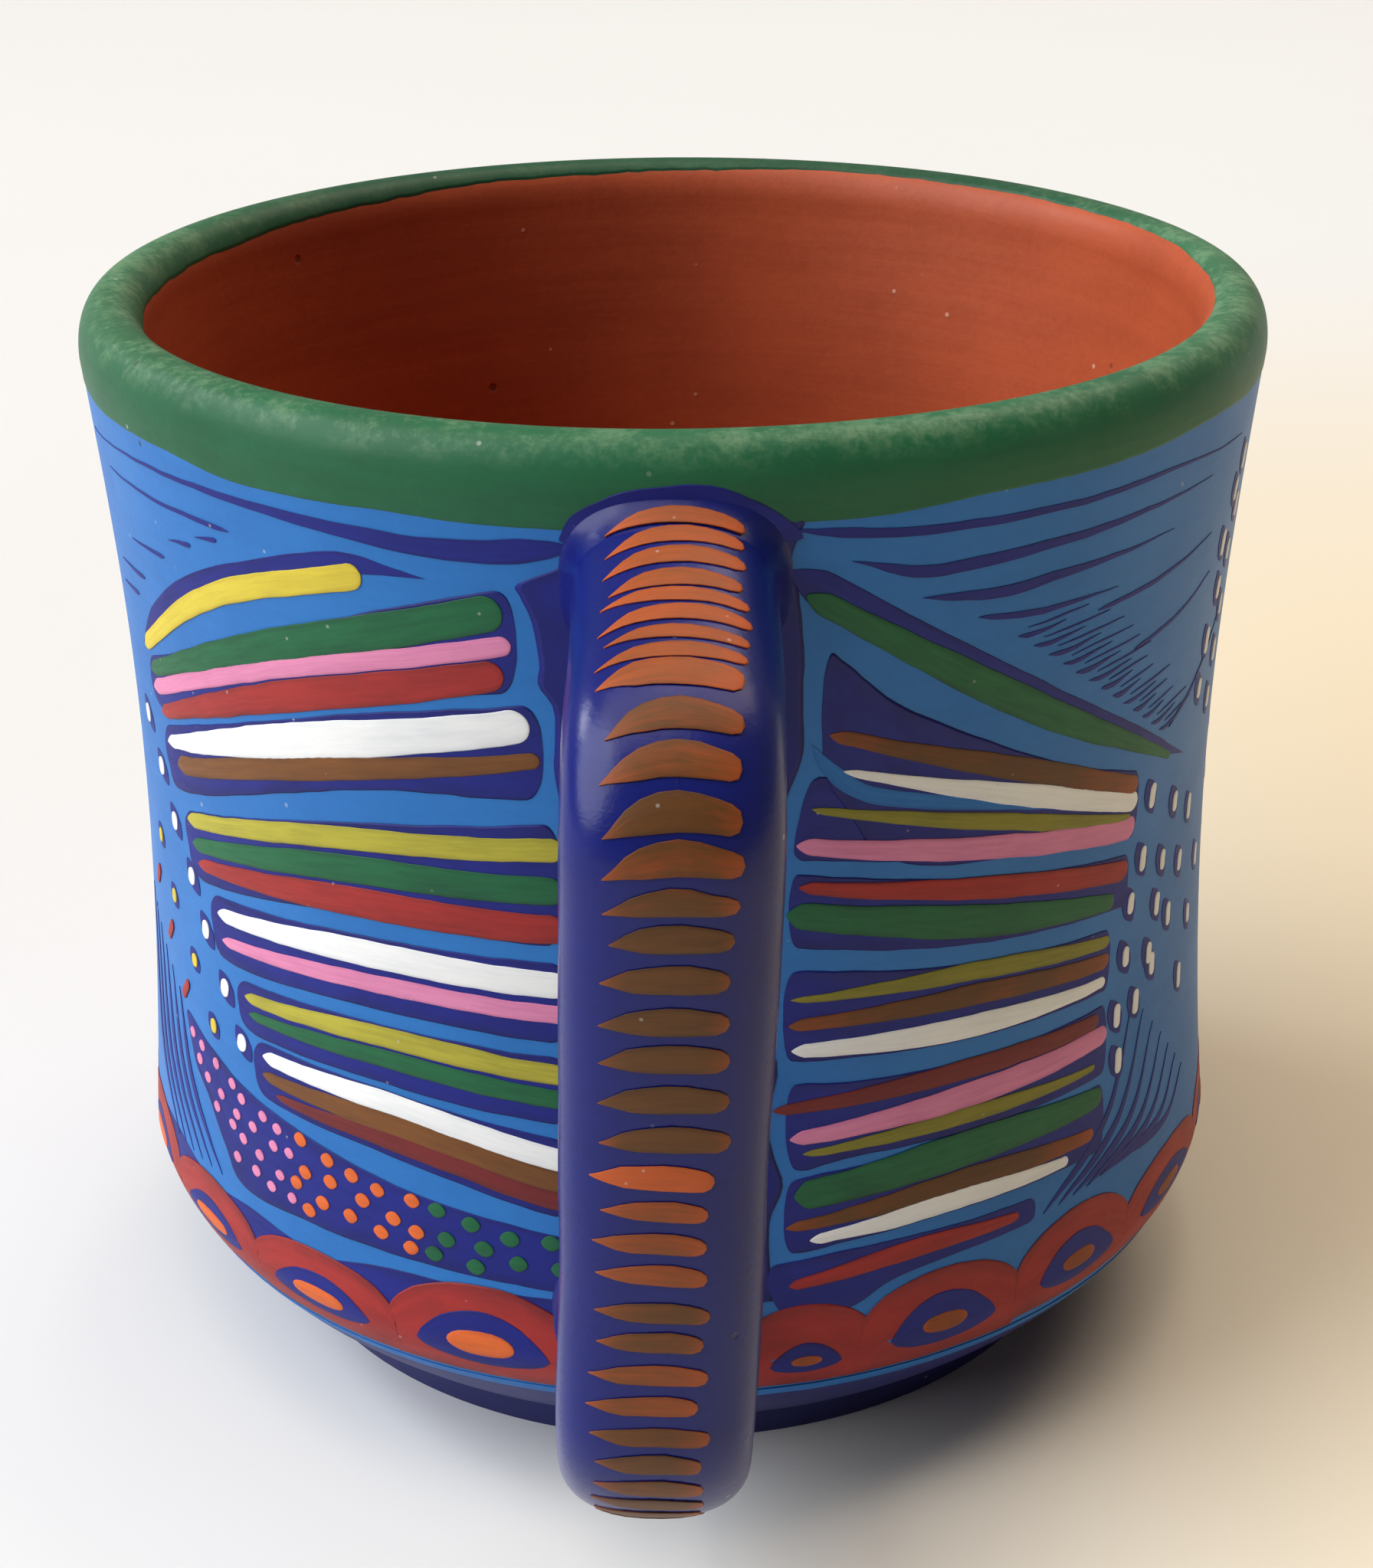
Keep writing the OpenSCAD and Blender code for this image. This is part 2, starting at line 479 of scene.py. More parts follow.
def cup_r(z):
    """Outer radius of the cup at height z above the belly."""
    up = (z - BELLY_Z) / (LIP_Z - BELLY_Z)
    dip = (RIM_R + BELLY_R) / 2 - WAIST_R
    return BELLY_R + (RIM_R - BELLY_R) * up - dip * math.sin(math.pi * up)


def strap_line():
    """Middle line of the strap, from the wall under the lip round to the wall at the belly."""
    root_z = STRAP_SIZES["Root height"]
    root_y = -(cup_r(root_z) - WALL_T / 2)
    upright_y = STRAP_FAR_Y + STRAP_T / 2
    top_y = upright_y + TOP_BEND_R
    top_z = root_z - math.tan(ARM_SLOPE) * (root_y - top_y) - TOP_BEND_R / math.cos(ARM_SLOPE)
    low_z = STRAP_LOW_Z + STRAP_T / 2
    low_y = upright_y + LOW_BEND_R

    def bend(y, z, radius, start, end):
        turns = [math.radians(start + (end - start) * i / BEND_STEPS) for i in range(BEND_STEPS + 1)]
        return [Vector((0, y + radius * math.cos(a), z + radius * math.sin(a))) for a in turns]

    top_bend = bend(top_y, top_z, TOP_BEND_R, 90 + math.degrees(ARM_SLOPE), 180)
    low_bend = bend(low_y, low_z + LOW_BEND_R, LOW_BEND_R, 180, 270)
    low_root = Vector((0, -(cup_r(low_z) - WALL_T / 2), low_z))
    return [Vector((0, root_y, root_z))] + top_bend + low_bend + [low_root]


def line_length(points):
    return sum((b - a).length for a, b in zip(points, points[1:]))


def line_object(name, points):
    curve = bpy.data.curves.new(name, "CURVE")
    curve.dimensions = "3D"
    spline = curve.splines.new("POLY")
    spline.points.add(len(points) - 1)
    for target, point in zip(spline.points, points):
        target.co = (*point, 1.0)
    return add_object(name, curve)


def strap_frame(tree, given, along):
    """Middle of the strap and its outward direction, at a length along it."""
    line = field(tree, "GeometryNodeObjectInfo", {"Object": given["Strap line"]}, "Geometry",
                 transform_space="ORIGINAL")
    node = add_node(tree, "GeometryNodeSampleCurve", {"Curves": line}, mode="LENGTH")
    feed(pick(node.inputs, "Length"), along)
    outward = vector_maths(tree, "CROSS_PRODUCT", Field(node.outputs["Tangent"]), (1.0, 0.0, 0.0))
    outward = field(tree, "ShaderNodeVectorMath", {0: outward}, operation="NORMALIZE")
    return Field(node.outputs["Position"]), outward


def strap_halves(given, along):
    """Half width and half thickness of the strap at a length along it."""
    share = along / given["Strap length"]
    near_top = 1 - along / given["Upper fade"]
    near_low = 1 - (given["Strap length"] - along) / given["Lower fade"]
    root = clamp01(maths("MAXIMUM", near_top, near_low))
    half_w = mix(given["Top width"], given["Low width"], share) / 2
    return half_w, mix(given["Strap thickness"], given["Root thickness"], root) / 2


def strap_place(tree, given, along, across, out):
    """A place on the strap, leaned and slightly uneven, as it was pulled and set by hand."""
    middle, outward = strap_frame(tree, given, along)
    place = vector_maths(tree, "ADD", middle, scaled(tree, outward, out))
    place = vector_maths(tree, "ADD", place, vector(tree, across, 0.0, 0.0))
    uneven = noise_vector(tree, place, UNEVEN_SCALE, 1.0)
    shift = scaled(tree, vector_maths(tree, "SUBTRACT", uneven, (0.5, 0.5, 0.5)), given["Unevenness"])
    place = vector_maths(tree, "ADD", place, shift)
    return field(tree, "ShaderNodeVectorRotate", {
        "Vector": place, "Center": vector(tree, 0.0, 0.0, given["Root height"]), "Angle": given["Lean"],
    }, rotation_type="Y_AXIS")


def strap_tree_inputs(name, extra):
    """A tree with the strap's sizes and its middle line as inputs."""
    tree, given = new_tree(name, STRAP_SIZES | {"Strap length": 0.0, "Unevenness": UNEVENNESS} | extra)
    tree.interface.new_socket("Strap line", in_out="INPUT", socket_type="NodeSocketObject")
    given["Strap line"] = Field(given["Geometry"].socket.node.outputs["Strap line"])
    return tree, given


def strap_section(given, along, turn, extra):
    """Across and outward places on the strap's squared oval section, grown by extra."""
    half_w, half_t = strap_halves(given, along)
    across = (half_w + extra) * squared(cosine(turn), STRAP_SQUARENESS)
    return across, (half_t + extra) * squared(sine(turn), STRAP_SQUARENESS)


def strap_tube(tree, given, rows, place):
    """A closed tube round the strap's line, from its places along, across and outward."""
    def closed(angle, share):
        along, across, out = place(angle, share)
        open_share = clamp01(maths("MINIMUM", share, 1 - share) * 1000)
        return strap_place(tree, given, along, across * open_share, out * open_share)

    return finish_tree(tree, given, patch(tree, STRAP_COLUMNS, rows, closed))


def strap_tree():
    """The pulled strap. Its ends are drawn together inside the wall."""
    tree, given = strap_tree_inputs("strap", {})

    def place(angle, share):
        along = share * given["Strap length"]
        return along, *strap_section(given, along, angle, 0.0)

    return strap_tube(tree, given, STRAP_ROWS, place)


def collar_tree():
    """Luting clay worked round a root: a hollow fillet that runs from the wall's face onto the strap."""
    tree, given = strap_tree_inputs("collar", CUP_SIZES | {
        "Spread": LUTING_SPREAD,
        "Run": LUTING_RUN,
        "Buried": LUTING_BURIED,
        "Root end": 0.0,
        "Direction": 1.0,
        "Root reach": 0.0,
        "Arm height": 0.0,
        "Arm slope": 0.0,
    })
    slope_sine = sine(given["Arm slope"])
    slope_cosine = cosine(given["Arm slope"])

    def place(angle, share):
        turn = clamp01((share - 0.1) / 0.9) * (math.pi / 2)
        extra = given["Spread"] * (1 - sine(turn)) - given["Buried"] * 0.2
        near = (given["Run"] * (1 - cosine(turn)) + LUTING_FACE) * given["Direction"]
        across, out = strap_section(given, given["Root end"] + near, angle, extra)
        height = given["Arm height"] + out * given["Direction"]
        aside = across + (height - given["Root height"]) * sine(given["Lean"])
        face = (wall_radius(given, height) ** 2 - aside ** 2) ** 0.5
        to_face = (face - given["Root reach"] - out * slope_sine) / slope_cosine
        outward = to_face - given["Buried"] + (given["Run"] + given["Buried"]) * (1 - cosine(turn))
        return given["Root end"] + given["Direction"] * outward, across, out

    return strap_tube(tree, given, COLLAR_ROWS, place)


def wrap_on_strap_tree():
    """Lays a flat drawing on the strap's outer face: up is back along the strap to its upper root."""
    tree, given = strap_tree_inputs("wrap on strap", {"Brush waver": BRUSH_WAVER})
    across, up, lift = hand_drawn(tree, given)
    along = -up
    half_w, half_t = strap_halves(given, along)
    inset = 1 - maths("ABSOLUTE", across / half_w) ** STRAP_SQUARENESS
    off_wall = 1 - clamp01((along - LUTING_FACE + LUTING_BURIED) / (LUTING_RUN + LUTING_BURIED))
    luting = (1 - (1 - off_wall ** 2) ** 0.5) * LUTING_SPREAD
    out = half_t * maths("MAXIMUM", inset, 0.02) ** (1 / STRAP_SQUARENESS) + luting + lift
    return lay_on_clay(tree, given, strap_place(tree, given, along, across, out))


# Finishes

def colour(red, green, blue):
    """A colour as it shows on a screen, from 0 to 255, for a shader."""
    def linear(value):
        value = value / 255
        return value / 12.92 if value <= 0.04045 else ((value + 0.055) / 1.055) ** 2.4
    return (linear(red), linear(green), linear(blue), 1.0)


def new_material(name):
    material = bpy.data.materials.new(name)
    material.use_nodes = True
    material.node_tree.nodes.clear()
    return material, material.node_tree


def blend(tree, share, a, b):
    inputs = {"Factor": share, "A": a, "B": b}
    return field(tree, "ShaderNodeMix", inputs, "Result", data_type="RGBA")


def step(tree, value, low, high):
    """0 below low, 1 above high and smooth between."""
    inputs = {"Value": value, "From Min": low, "From Max": high}
    return field(tree, "ShaderNodeMapRange", inputs, interpolation_type="SMOOTHSTEP")


def object_place(tree):
    return field(tree, "ShaderNodeTexCoord", {}, "Object")


def specks(tree, place, scale, size, share):
    """Scattered round specks: 1 in their middle and 0 off them."""
    node = add_node(tree, "ShaderNodeTexVoronoi", {"Vector": place, "Scale": scale})
    near = 1 - step(tree, Field(node.outputs["Distance"]), size * 0.5, size)
    red, _, _ = split(tree, Field(node.outputs["Color"]))
    return near * step(tree, red, 1 - share, 1 - share + 0.01)


def surface(tree, base, roughness, height, depth, specular, strength=0.6):
    """The shader at the end of a finish."""
    bump = field(tree, "ShaderNodeBump", {"Strength": strength, "Distance": depth, "Height": height})
    shader = field(tree, "ShaderNodeBsdfPrincipled", {
        "Base Color": base, "Roughness": roughness, "Normal": bump, "Specular IOR Level": specular,
    })
    sink = tree.nodes.new("ShaderNodeOutputMaterial")
    feed(sink.inputs["Surface"], shader)


def stroke_paint(name, bright, deep, warm=None):
    """Paint laid on by a brush: streaks along the stroke, thin at its edges, with a little dust.

    The colours of this and the next finish are given as they show on a screen.
    """
    material, tree = new_material(name)
    place = object_place(tree)
    brush = field(tree, "ShaderNodeAttribute", {}, "Vector", attribute_name="brush")
    along, share, seed = split(tree, brush)
    grain = vector(tree, along * 260, share * 3.2, seed * 50)
    streak = noise(tree, grain, 1.0, 4.0, 0.65)
    pool = noise(tree, vector(tree, along * 110, share * 0.8, seed * 31), 1.0, 2.0)
    cloud = noise(tree, place, 170.0, 3.0, 0.6)
    thin = step(tree, maths("ABSOLUTE", share), 0.62, 1.0)
    deepness = clamp01((streak - 0.4) * 1.1 + (pool - 0.42) * 0.9 + (cloud - 0.5) * 0.7 + thin * 0.4)
    base = blend(tree, deepness, colour(*bright), colour(*deep))
    if warm:
        run = field(tree, "ShaderNodeAttribute", {}, "Fac", attribute_name="run_share")
        near_end = maths("ABSOLUTE", run * 2 - 0.95) ** 4
        warmth = clamp01(seed + near_end * 0.4 + (streak - 0.5) * 0.9 + (cloud - 0.5) * 0.7)
        base = blend(tree, warmth, base, colour(*warm))
    dust = specks(tree, place, 900.0, 0.16, 0.05)
    base = blend(tree, dust * 0.35, base, colour(205, 200, 190))
    rough = mix(0.42, 0.62, streak)
    surface(tree, base, rough, streak * 0.6 + cloud * 0.4, 0.05 * MM, 0.28)
    return material


def coat_paint(name, bright, deep, worn=None, shine=0.42, specular=0.3):
    """A flat coat of paint on clay: brushed round the pot, clouded, and dusty in its pores."""
    material, tree = new_material(name)
    place = object_place(tree)
    x, y, z = split(tree, place)
    turn = maths("ARCTAN2", x, y)
    brushed = noise(tree, vector(tree, turn * 6, z * 900, 0.0), 1.0, 3.0, 0.6)
    cloud = noise(tree, place, 42.0, 4.0, 0.6)
    grain = noise(tree, place, 1500.0, 2.0, 0.7)
    deepness = clamp01((cloud - 0.38) * 1.3 + (brushed - 0.5) * 0.5 + (grain - 0.5) * 0.35)
    base = blend(tree, deepness, colour(*bright), colour(*deep))
    if worn:
        crest = step(tree, z, CUP_H - 2.6 * MM, CUP_H - 0.2 * MM)
        scuff = step(tree, noise(tree, place, 190.0, 6.0, 0.75) + (grain - 0.5) * 0.5, 0.4, 0.72)
        # Painted shade: the far side of the rim, turned from the light, is darkened towards the deep colour
        # and keeps fewer worn marks on its crest.
        behind = step(tree, y, 5 * MM, 36 * MM)
        beside = step(tree, maths("ABSOLUTE", x), 28 * MM, 46 * MM)
        base = blend(tree, behind * 0.8, base, colour(*deep))
        wear_less_in_painted_shade = clamp01(scuff + beside * 0.25) * (0.5 + beside * 0.12 - behind * 0.4)
        base = blend(tree, crest * wear_less_in_painted_shade, base, colour(*worn))
    dust = specks(tree, place, 620.0, 0.15, 0.035)
    base = blend(tree, dust * 0.4, base, colour(196, 200, 200))
    pits = specks(tree, vector_maths(tree, "ADD", place, (0.013, 0.007, 0.0)), 420.0, 0.14, 0.03)
    base = blend(tree, pits * 0.6, base, colour(24, 26, 46))
    rough = mix(shine - 0.06, shine + 0.16, cloud)
    surface(tree, base, rough, brushed * 0.5 + grain * 0.3 + cloud * 0.5 - pits, 0.09 * MM, specular)
    return material


def bare_terracotta():
    """Fired clay, burnished by a rib: turned rings, mottling, pits and pale grits."""
    material, tree = new_material("bare_terracotta")
    place = object_place(tree)
    x, y, z = split(tree, place)
    turn = maths("ARCTAN2", x, y)
    rings = noise(tree, vector(tree, turn * 1.5, z * 420, 0.0), 1.0, 3.0, 0.55)
    cloud = noise(tree, place, 38.0, 5.0, 0.62)
    grain = noise(tree, place, 1300.0, 3.0, 0.7)
    deepness = clamp01((cloud - 0.36) * 1.5 + (rings - 0.5) * 0.55 + (grain - 0.5) * 0.5)
    base = blend(tree, deepness, colour(171, 79, 47), colour(130, 52, 30))
    grits = specks(tree, place, 420.0, 0.12, 0.08)
    base = blend(tree, grits * 0.6, base, colour(214, 170, 148))
    pits = specks(tree, vector_maths(tree, "ADD", place, (0.021, 0.003, 0.011)), 300.0, 0.16, 0.06)
    base = blend(tree, pits * 0.75, base, colour(86, 36, 26))
    rough = mix(0.4, 0.62, cloud)
    surface(tree, base, rough, rings * 0.7 + grain * 0.25 + grits * 0.5 - pits, 0.16 * MM, 0.25)
    return material


PAINTS = {
    "cobalt": ((16, 28, 126), (11, 16, 90)),
    "light_blue": ((34, 114, 190), (20, 88, 160)),
    "bar_green": ((23, 98, 60), (13, 64, 45)),
    "yellow": ((218, 197, 64), (180, 156, 49)),
    "yellow_olive": ((180, 171, 58), (128, 122, 43)),
    "olive": ((137, 132, 45), (92, 90, 36)),
    "pink": ((224, 137, 177), (184, 103, 147)),
    "red": ((162, 43, 40), (107, 29, 32)),
    "dark_red": ((113, 34, 36), (79, 27, 33)),
    "brown": ((120, 74, 32), (79, 48, 29)),
    "orange": ((222, 105, 45), (180, 79, 36)),
    "white": ((244, 245, 244), (218, 221, 226)),
}


# Strokes of paint

strokes = defaultdict(list)

# Forms of a stroke's end: over what share of its length it narrows
POINTED = 0.4
SHARP = 0.9
BLUNT = 0.05
ROUND = 0.0

# How much a stroke swells, as a share of its half width
BAR_DOME = 0.09
DOT_DOME = 0.16
RING_DOME = 0.06
DASH_DOME = 0.06


def flat(degrees, height):
    """A place on the wall, in degrees from the handle and millimetres up, as a flat place."""
    return Vector((math.radians(degrees) * FLAT_R, height * MM))


def smooth_line(points, count):
    """Evenly timed points of a smooth curve through the given ones, closest together at its ends."""
    points = [2 * points[0] - points[1]] + points + [2 * points[-1] - points[-2]]
    spans = len(points) - 3
    made = []
    for i in range(count + 1):
        time = (1 - math.cos(math.pi * i / count)) / 2 * spans
        k = min(int(time), spans - 1)
        t = time - k
        a, b, c, d = points[k:k + 4]
        made.append(0.5 * (2 * b + (c - a) * t + (2 * a - 5 * b + 4 * c - d) * t * t
                           + (3 * b - a - 3 * c + d) * t ** 3))
    return made


def end_share(distance, length, squareness):
    """Share of its full width that a stroke has at a distance from its end."""
    left = min(1.0, max(0.0, 1 - distance / length))
    return max(1e-3, (1 - left ** squareness) ** (1 / squareness))


def stroke_edges(path, widths, start, end):
    """Right and left edges of a stroke along flat points, narrowed or rounded at its ends."""
    spline = [Vector((*point, width * MM / 2)) for point, width in zip(path, widths)]
    length = line_length([point.to_2d() for point in spline])
    line = smooth_line(spline, max(10, min(64, int(length / (0.7 * MM)))))
    done = 0.0
    edges = []
    for i, point in enumerate(line):
        ahead = line[min(i + 1, len(line) - 1)]
        behind = line[max(i - 1, 0)]
        direction = (ahead - behind).to_2d().normalized()
        side = Vector((-direction.y, direction.x))
        done += (point - behind).to_2d().length
        share = end_share(done, *end_form(start, length, point.z))
        share *= end_share(length - done, *end_form(end, length, point.z))
        half = point.z * share
        edges.append((point.to_2d() - side * half, point.to_2d() + side * half))
    return edges


def end_form(form, length, half):
    """Length and squareness of the end of a stroke: round, or narrowed over a share of its length."""
    if form == ROUND:
        return max(half, 1e-5), 2.0
    return form * length, 1.35


def stroke(paint, path, width, start=POINTED, end=ROUND, lift=BAR_LIFT, dome=BAR_DOME, seed=None):
    """Adds a stroke through places in degrees and millimetres. The width is one number or one a place."""
    widths = [width] * len(path) if isinstance(width, (int, float)) else width
    points = [flat(*place) for place in path]
    strokes[paint].append((stroke_edges(points, widths, start, end), lift, dome, seed))


def flat_stroke(path, width, start, end, lift=LINE_LIFT, paint="cobalt"):
    """A thin stroke with no swell, as the cobalt drawing under the bars has."""
    stroke(paint, path, width, start, end, lift, 0.0)


def fill_between(lefts, rights, count):
    """Fills the ground between two smooth lines of places with cobalt."""
    sides = [smooth_line([flat(*place) for place in side], count) for side in (lefts, rights)]
    strokes["cobalt"].append((list(zip(*sides)), FIELD_LIFT, 0.0, None))


def bar(paint, width, left, right, bow, thin_left, thin_right):
    """A colour bar bowed up in the middle, with the shares of its width that its ends have."""
    middle = ((left[0] + right[0]) / 2, (left[1] + right[1]) / 2 + bow)
    widths = [width * thin_left, width * chance.uniform(0.97, 1.05), width * thin_right]
    seed = 0.02 if paint == "dash_orange" else None
    stroke(paint, [left, middle, right], widths, 0.035, ROUND, seed=seed)


def field_between(stations, corner=1.6, lift=FIELD_LIFT, paint="cobalt"):
    """A filled shape between its upper and lower edge, with stations of degrees, top and bottom."""
    count = max(30, min(84, int((stations[-1][0] - stations[0][0]) * 1.7)))
    tops = smooth_line([flat(d, top) for d, top, _ in stations], count)
    bottoms = smooth_line([flat(d, bottom) for d, _, bottom in stations], count)
    length = tops[-1].x - tops[0].x
    edges = []
    for top, bottom in zip(tops, bottoms):
        centre = (top + bottom) / 2
        ends = [tops[0].x, tops[-1].x]
        share = min(end_share(abs(centre.x - x), min(corner * MM, length / 2), 2.4) for x in ends)
        edges.append((centre + (bottom - centre) * share, centre + (top - centre) * share))
    strokes[paint].append((edges, lift, 0.0, None))


def dot(paint, place, width, height, lean=0.0):
    """A dab of paint, taller than it is wide where the brush dragged."""
    degrees, up = place
    reach = max(height - width, 0.05) / 2 + width / 2
    slant = math.degrees(math.sin(lean) * reach * MM / FLAT_R)
    path = [(degrees - slant, up - reach), (degrees + slant, up + reach)]
    stroke(paint, path, width, ROUND, ROUND, DOT_LIFT, DOT_DOME)


def chain(start, end, count, loose=1.0):
    """Places evenly spaced from one to another, set by hand and so not quite in line."""
    for i in range(count):
        share = i / (count - 1)
        yield (start[0] + (end[0] - start[0]) * share + chance.uniform(-0.5, 0.5) * loose,
               start[1] + (end[1] - start[1]) * share + chance.uniform(-0.35, 0.35) * loose)


def white_bead(place, width, height, shadow, lean):
    """A white dab on its own dark dab of cobalt, which leans the other way."""
    degrees, up = place
    flat_stroke([(degrees - 1.1, up + shadow), (degrees + lean, up - shadow)], 1.9, 0.35, 0.35, FIELD_LIFT)
    dot("white", place, width, height, lean * 0.1)


def turned(places, by):
    """Places moved round the mug by some degrees."""
    return [(place[0] + by, *place[1:]) for place in places]


LEFT_FIELDS = (
    ((-63.4, 64, 60.4), (-57, 66, 60.8), (-38, 72.4, 66.3), (-24, 76.5, 69.6), (-13.3, 79, 71)),
    ((-61.5, 58.4, 55.2), (-57, 60, 54.2), (-30, 67.3, 61.2), (-11.5, 70.3, 62.7)),
    ((-58, 52.3, 49.4), (-54.5, 53.2, 47.2), (-32, 58.2, 50.6), (-10.1, 61, 50.9)),
    ((-53.5, 46.4, 43.2), (-50.5, 46.9, 41.4), (-31, 49, 43), (-9.9, 49.6, 42.9)),
    ((-49, 40.4, 37.6), (-46.5, 40.7, 36.3), (-30, 41.8, 36.8), (-9.9, 41.7, 36)),
    ((-46.5, 35.6, 32.6), (-44, 36, 31.1), (-28, 36.2, 30.6), (-9.9, 34.7, 27.9)),
)
DOTTED_FIELD = (
    (-61, 33.4, 32.6), (-58.8, 33, 29.4), (-55.5, 32.2, 27.2), (-52, 31.5, 24), (-48.4, 30.8, 21.5),
    (-38, 29.5, 21.9), (-26, 28, 22), (-9.5, 26.3, 21.6),
)
LEFT_BARS = (
    ("yellow", 1.9, (-63.7, 64.9), (-27.2, 78.5), 2, 0.7, 1),
    ("bar_green", 2.7, (-62.8, 63.1), (-14.4, 77.2), 0.9, 0.42, 1),
    ("pink", 1.6, (-62.6, 61.6), (-13.8, 74.7), 1.2, 0.85, 0.95),
    ("red", 2.4, (-61.2, 59.9), (-14.6, 72.4), 1, 0.45, 1),
    ("white", 2.8, (-60.4, 57.6), (-12.6, 68.6), 0.8, 0.38, 0.95),
    ("brown", 1.8, (-58.2, 56.2), (-11.8, 65.9), 0.9, 0.85, 0.7),
    ("yellow_olive", 1.9, (-57.2, 51.8), (-10, 58.9), 1.3, 0.7, 1),
    ("bar_green", 2.3, (-56.5, 49.9), (-10, 55.5), 1.5, 0.5, 1),
    ("red", 2.4, (-55.5, 48.5), (-10, 52.3), 1.2, 0.42, 1),
    ("white", 2.2, (-52, 45.2), (-10, 47.7), 1.1, 0.5, 1),
    ("pink", 1.5, (-51.4, 43), (-10, 45.3), 1, 0.6, 1),
    ("yellow_olive", 1.7, (-47.6, 39.2), (-10, 40.2), 1.1, 0.6, 1),
    ("bar_green", 1.6, (-47, 37.8), (-10, 38.1), 1, 0.5, 1),
    ("white", 1.9, (-44.9, 34.8), (-10, 32.9), 1.3, 0.6, 1),
    ("brown", 1.9, (-45, 33.1), (-10, 31), 1.3, 0.5, 1),
    ("dark_red", 1.6, (-43, 31.8), (-10, 29.3), 1.3, 0.4, 1),
)
RIGHT_FIELDS = (
    ((12.5, 74.6, 65), (14.6, 72.9, 62), (20.5, 68.8, 56.5), (37, 61.6, 54.2), (50.8, 57.2, 51.6)),
    ((10.3, 59.6, 57.7), (11, 62.4, 57.7), (12.4, 64.3, 57.6), (16, 63, 57.2), (21, 61.6, 56.5)),
    ((10, 56.8, 50.8), (21.5, 55, 49.2), (50, 50.4, 45.9)),
    ((9.5, 48.2, 41.5), (11.5, 48.8, 41.2), (18.5, 47.9, 40.9), (47.3, 44.7, 39.4)),
    ((9.8, 39.1, 33), (11.6, 39.4, 32), (18.5, 38.9, 32.6), (47, 38.2, 32)),
    ((9.6, 30.2, 25.2), (11.6, 31.4, 25), (25, 31.9, 25.8), (46.6, 31.2, 25.3)),
    ((8, 24.1, 21.6), (10.4, 24.3, 19.2), (16, 24.6, 19.6), (22, 24.7, 21.6), (36.5, 24.3, 22.3)),
)
RIGHT_BARS = (
    ("bar_green", 2.4, (10.8, 78.4), (57, 56.7), -0.9, 0.7, 0.25),
    ("dash_orange", 1.9, (13.2, 67.6), (50.3, 56.1), 0.4, 0.5, 0.85),
    ("white", 1.7, (14.6, 64.6), (50.5, 54.7), 0.3, 0.3, 0.95),
    ("olive", 1.4, (11.8, 61.8), (49.4, 53.6), 0.4, 0.4, 0.6),
    ("pink", 1.9, (10.5, 59), (50.4, 52.6), 0.2, 0.7, 1),
    ("red", 1.8, (10.8, 55.6), (49.6, 49.1), 0.4, 0.55, 1),
    ("bar_green", 2.8, (9.8, 53.5), (47.5, 47), 0, 0.75, 0.5),
    ("olive", 1.5, (10.2, 46.4), (47, 43.7), 1, 0.3, 0.7),
    ("dash_orange", 1.7, (10, 44.3), (47, 42), 0.9, 0.55, 0.8),
    ("white", 1.8, (10.3, 42.2), (46.5, 40.3), 0.2, 0.6, 0.5),
    ("dark_red", 1.7, (8.6, 37.3), (45.6, 37.2), 0.6, 0.5, 0.8),
    ("pink", 2.1, (10.2, 34.8), (47, 35.6), 0.4, 0.55, 0.85),
    ("olive", 1.4, (11.4, 33.4), (45, 33.1), 0.6, 0.4, 0.4),
    ("bar_green", 3, (10.6, 29.8), (46.2, 30.2), 1, 0.8, 0.6),
    ("dash_orange", 1.9, (9.8, 27.2), (44.8, 27.2), 1.1, 0.4, 0.6),
    ("white", 1.8, (12.1, 25.9), (41, 26.1), 0.8, 0.45, 0.5),
    ("red", 1.7, (10, 22.1), (34.3, 23.3), 0.8, 0.5, 0.45),
)
# Middle, half width, top, cusp height, base height and top thickness of each arch that the
# photograph shows
SCALLOPS = (
    (-55.3, 8.9, 19.8, 16.4, 13.4, 2.2), (-37.5, 9.3, 19.7, 16.2, 12.9, 2.1),
    (-19, 9.7, 21.2, 16, 12.8, 2.3), (-1.9, 7.9, 20.2, 16.4, 13, 2.2), (11.7, 6.4, 20.4, 16.8, 13.2, 3.4),
    (25.7, 8.7, 21.1, 16.8, 13.3, 2.1), (42.5, 8.5, 21.5, 17, 14, 2.4), (60.4, 9.9, 20.2, 17, 14.2, 2.2),
)
FARTHER_SCALLOPS = 13
# Rows of white beads beside the right fan: where each starts and ends, and how many it has
RIGHT_BEADS = (
    ((53.8, 54.2), (48.4, 32), 6), ((59.8, 51.2), (52.6, 36), 5), ((65.6, 49.2), (56.8, 38), 4),
    ((70.5, 43), (63.8, 34.6), 3), ((66.8, 76.6), (65, 60), 5), ((70, 79), (69.4, 58), 6),
)
# Paints of the dotted tail: how far round each goes on, its dots' half width and their spacing
TAIL_DOTS = ((-40, "pink", 0.68, 2.8), (-25, "orange", 0.85, 3.3), (0, "bar_green", 0.95, 3.6))


def paint_bars(bars, by):
    """Colour bars from a table, moved round the mug by some degrees."""
    for paint, width, left, right, *form in bars:
        bar(paint, width, *turned((left, right), by), *form)


